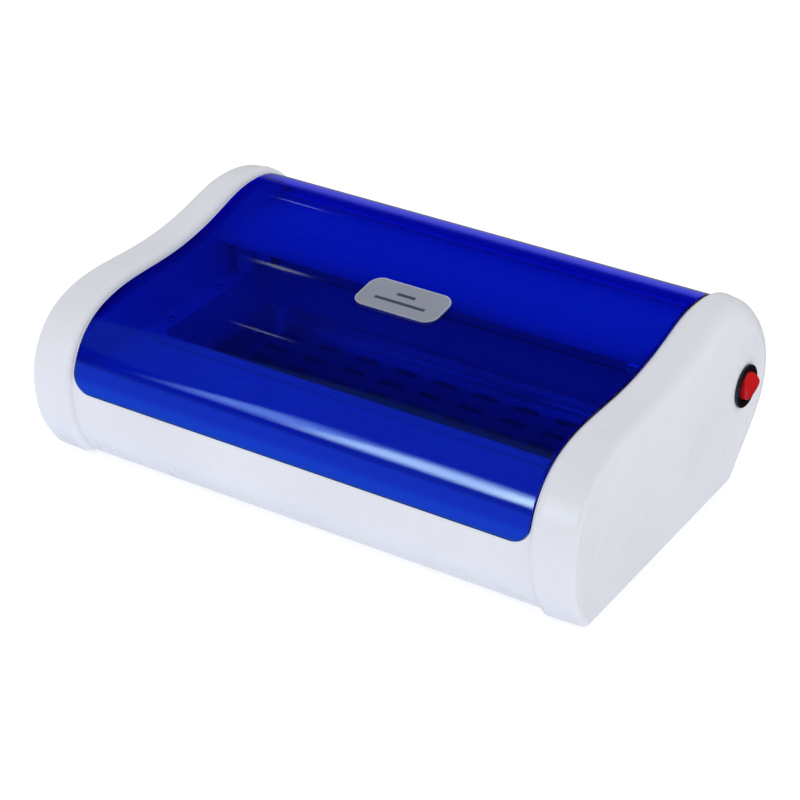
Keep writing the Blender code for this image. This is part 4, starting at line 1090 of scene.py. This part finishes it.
# ---------------------------------------------------------------- the whole scene

make_camera()
make_world()
make_stage()

line = smooth_curve(OUTLINE, LINE_STEPS)
white = moulded_plastic("white_abs", WHITE, 0.30, polish=0.14)
lid_look = clear_blue("blue_acrylic")
badge_look = badge_metal("satin_badge")
make_housing(line, white)
make_lid(line, lid_look, badge_look)
black = moulded_plastic("switch_resin", (0.006, 0.006, 0.008), 0.28)
make_switch(black, moulded_plastic("rocker_resin", (0.62, 0.006, 0.008), 0.20))

LOOKS = {
    "base_plastic": moulded_plastic("base_abs", (0.74, 0.75, 0.79), 0.45, 0.00006, 600.0),
    "tub_plastic": moulded_plastic("tub_abs", (0.78, 0.79, 0.82), 0.30),
    "foot_rubber": rubber("foot_rubber", (0.020, 0.020, 0.021)),
    "screw_steel": plated_metal("zinc_plate", (0.60, 0.61, 0.64), 0.32),
    "reflector_aluminium": brushed_metal("rolled_aluminium", (0.88, 0.89, 0.91), 0.16),
    "holder_plastic": moulded_plastic("holder_resin", (0.80, 0.80, 0.76), 0.40, 0.00004, 700.0),
    "pin_steel": plated_metal("ground_steel", (0.66, 0.66, 0.68), 0.28),
    "ballast_steel": brushed_metal("lacquered_steel", (0.42, 0.43, 0.45), 0.42, (1.0, 1.0, 60.0)),
    "starter_plastic": moulded_plastic("starter_resin", (0.78, 0.79, 0.80), 0.38),
    "tab_brass": plated_metal("tab_brass", (0.72, 0.58, 0.30), 0.30),
    "gland_rubber": rubber("gland_rubber", (0.018, 0.018, 0.019)),
    "tray_steel": brushed_metal("tray_stainless", (0.62, 0.62, 0.63), 0.28),
    "lamp_glass": clear_glass("quartz_glass"),
    "cap_aluminium": brushed_metal("cap_aluminium", (0.80, 0.80, 0.82), 0.25, (40.0, 1.0, 1.0)),
    "lamp_brass": plated_metal("pin_brass", (0.74, 0.62, 0.36), 0.28),
    "wire_brown": wire_skin("brown_skin", (0.20, 0.07, 0.02)),
    "wire_black": wire_skin("black_skin", (0.010, 0.010, 0.011)),
    "wire_red": wire_skin("red_skin", (0.45, 0.012, 0.012)),
    "wire_blue": wire_skin("blue_skin", (0.010, 0.03, 0.30)),
    "wire_white": wire_skin("white_skin", (0.75, 0.75, 0.72)),
    "wire_neutral": wire_skin("pale_blue_skin", (0.03, 0.16, 0.50)),
}
slot_of = {entry["node"]: entry["material_slot"] for entry in frame["record"]["subparts"]}
for name, node in frame["nodes"].items():
    if node.hide_render:
        continue
    node.data.materials.clear()
    node.data.materials.append(LOOKS[slot_of[name]])

view = bpy.context.scene.view_settings
view.view_transform = "Standard"
view.look = "None"
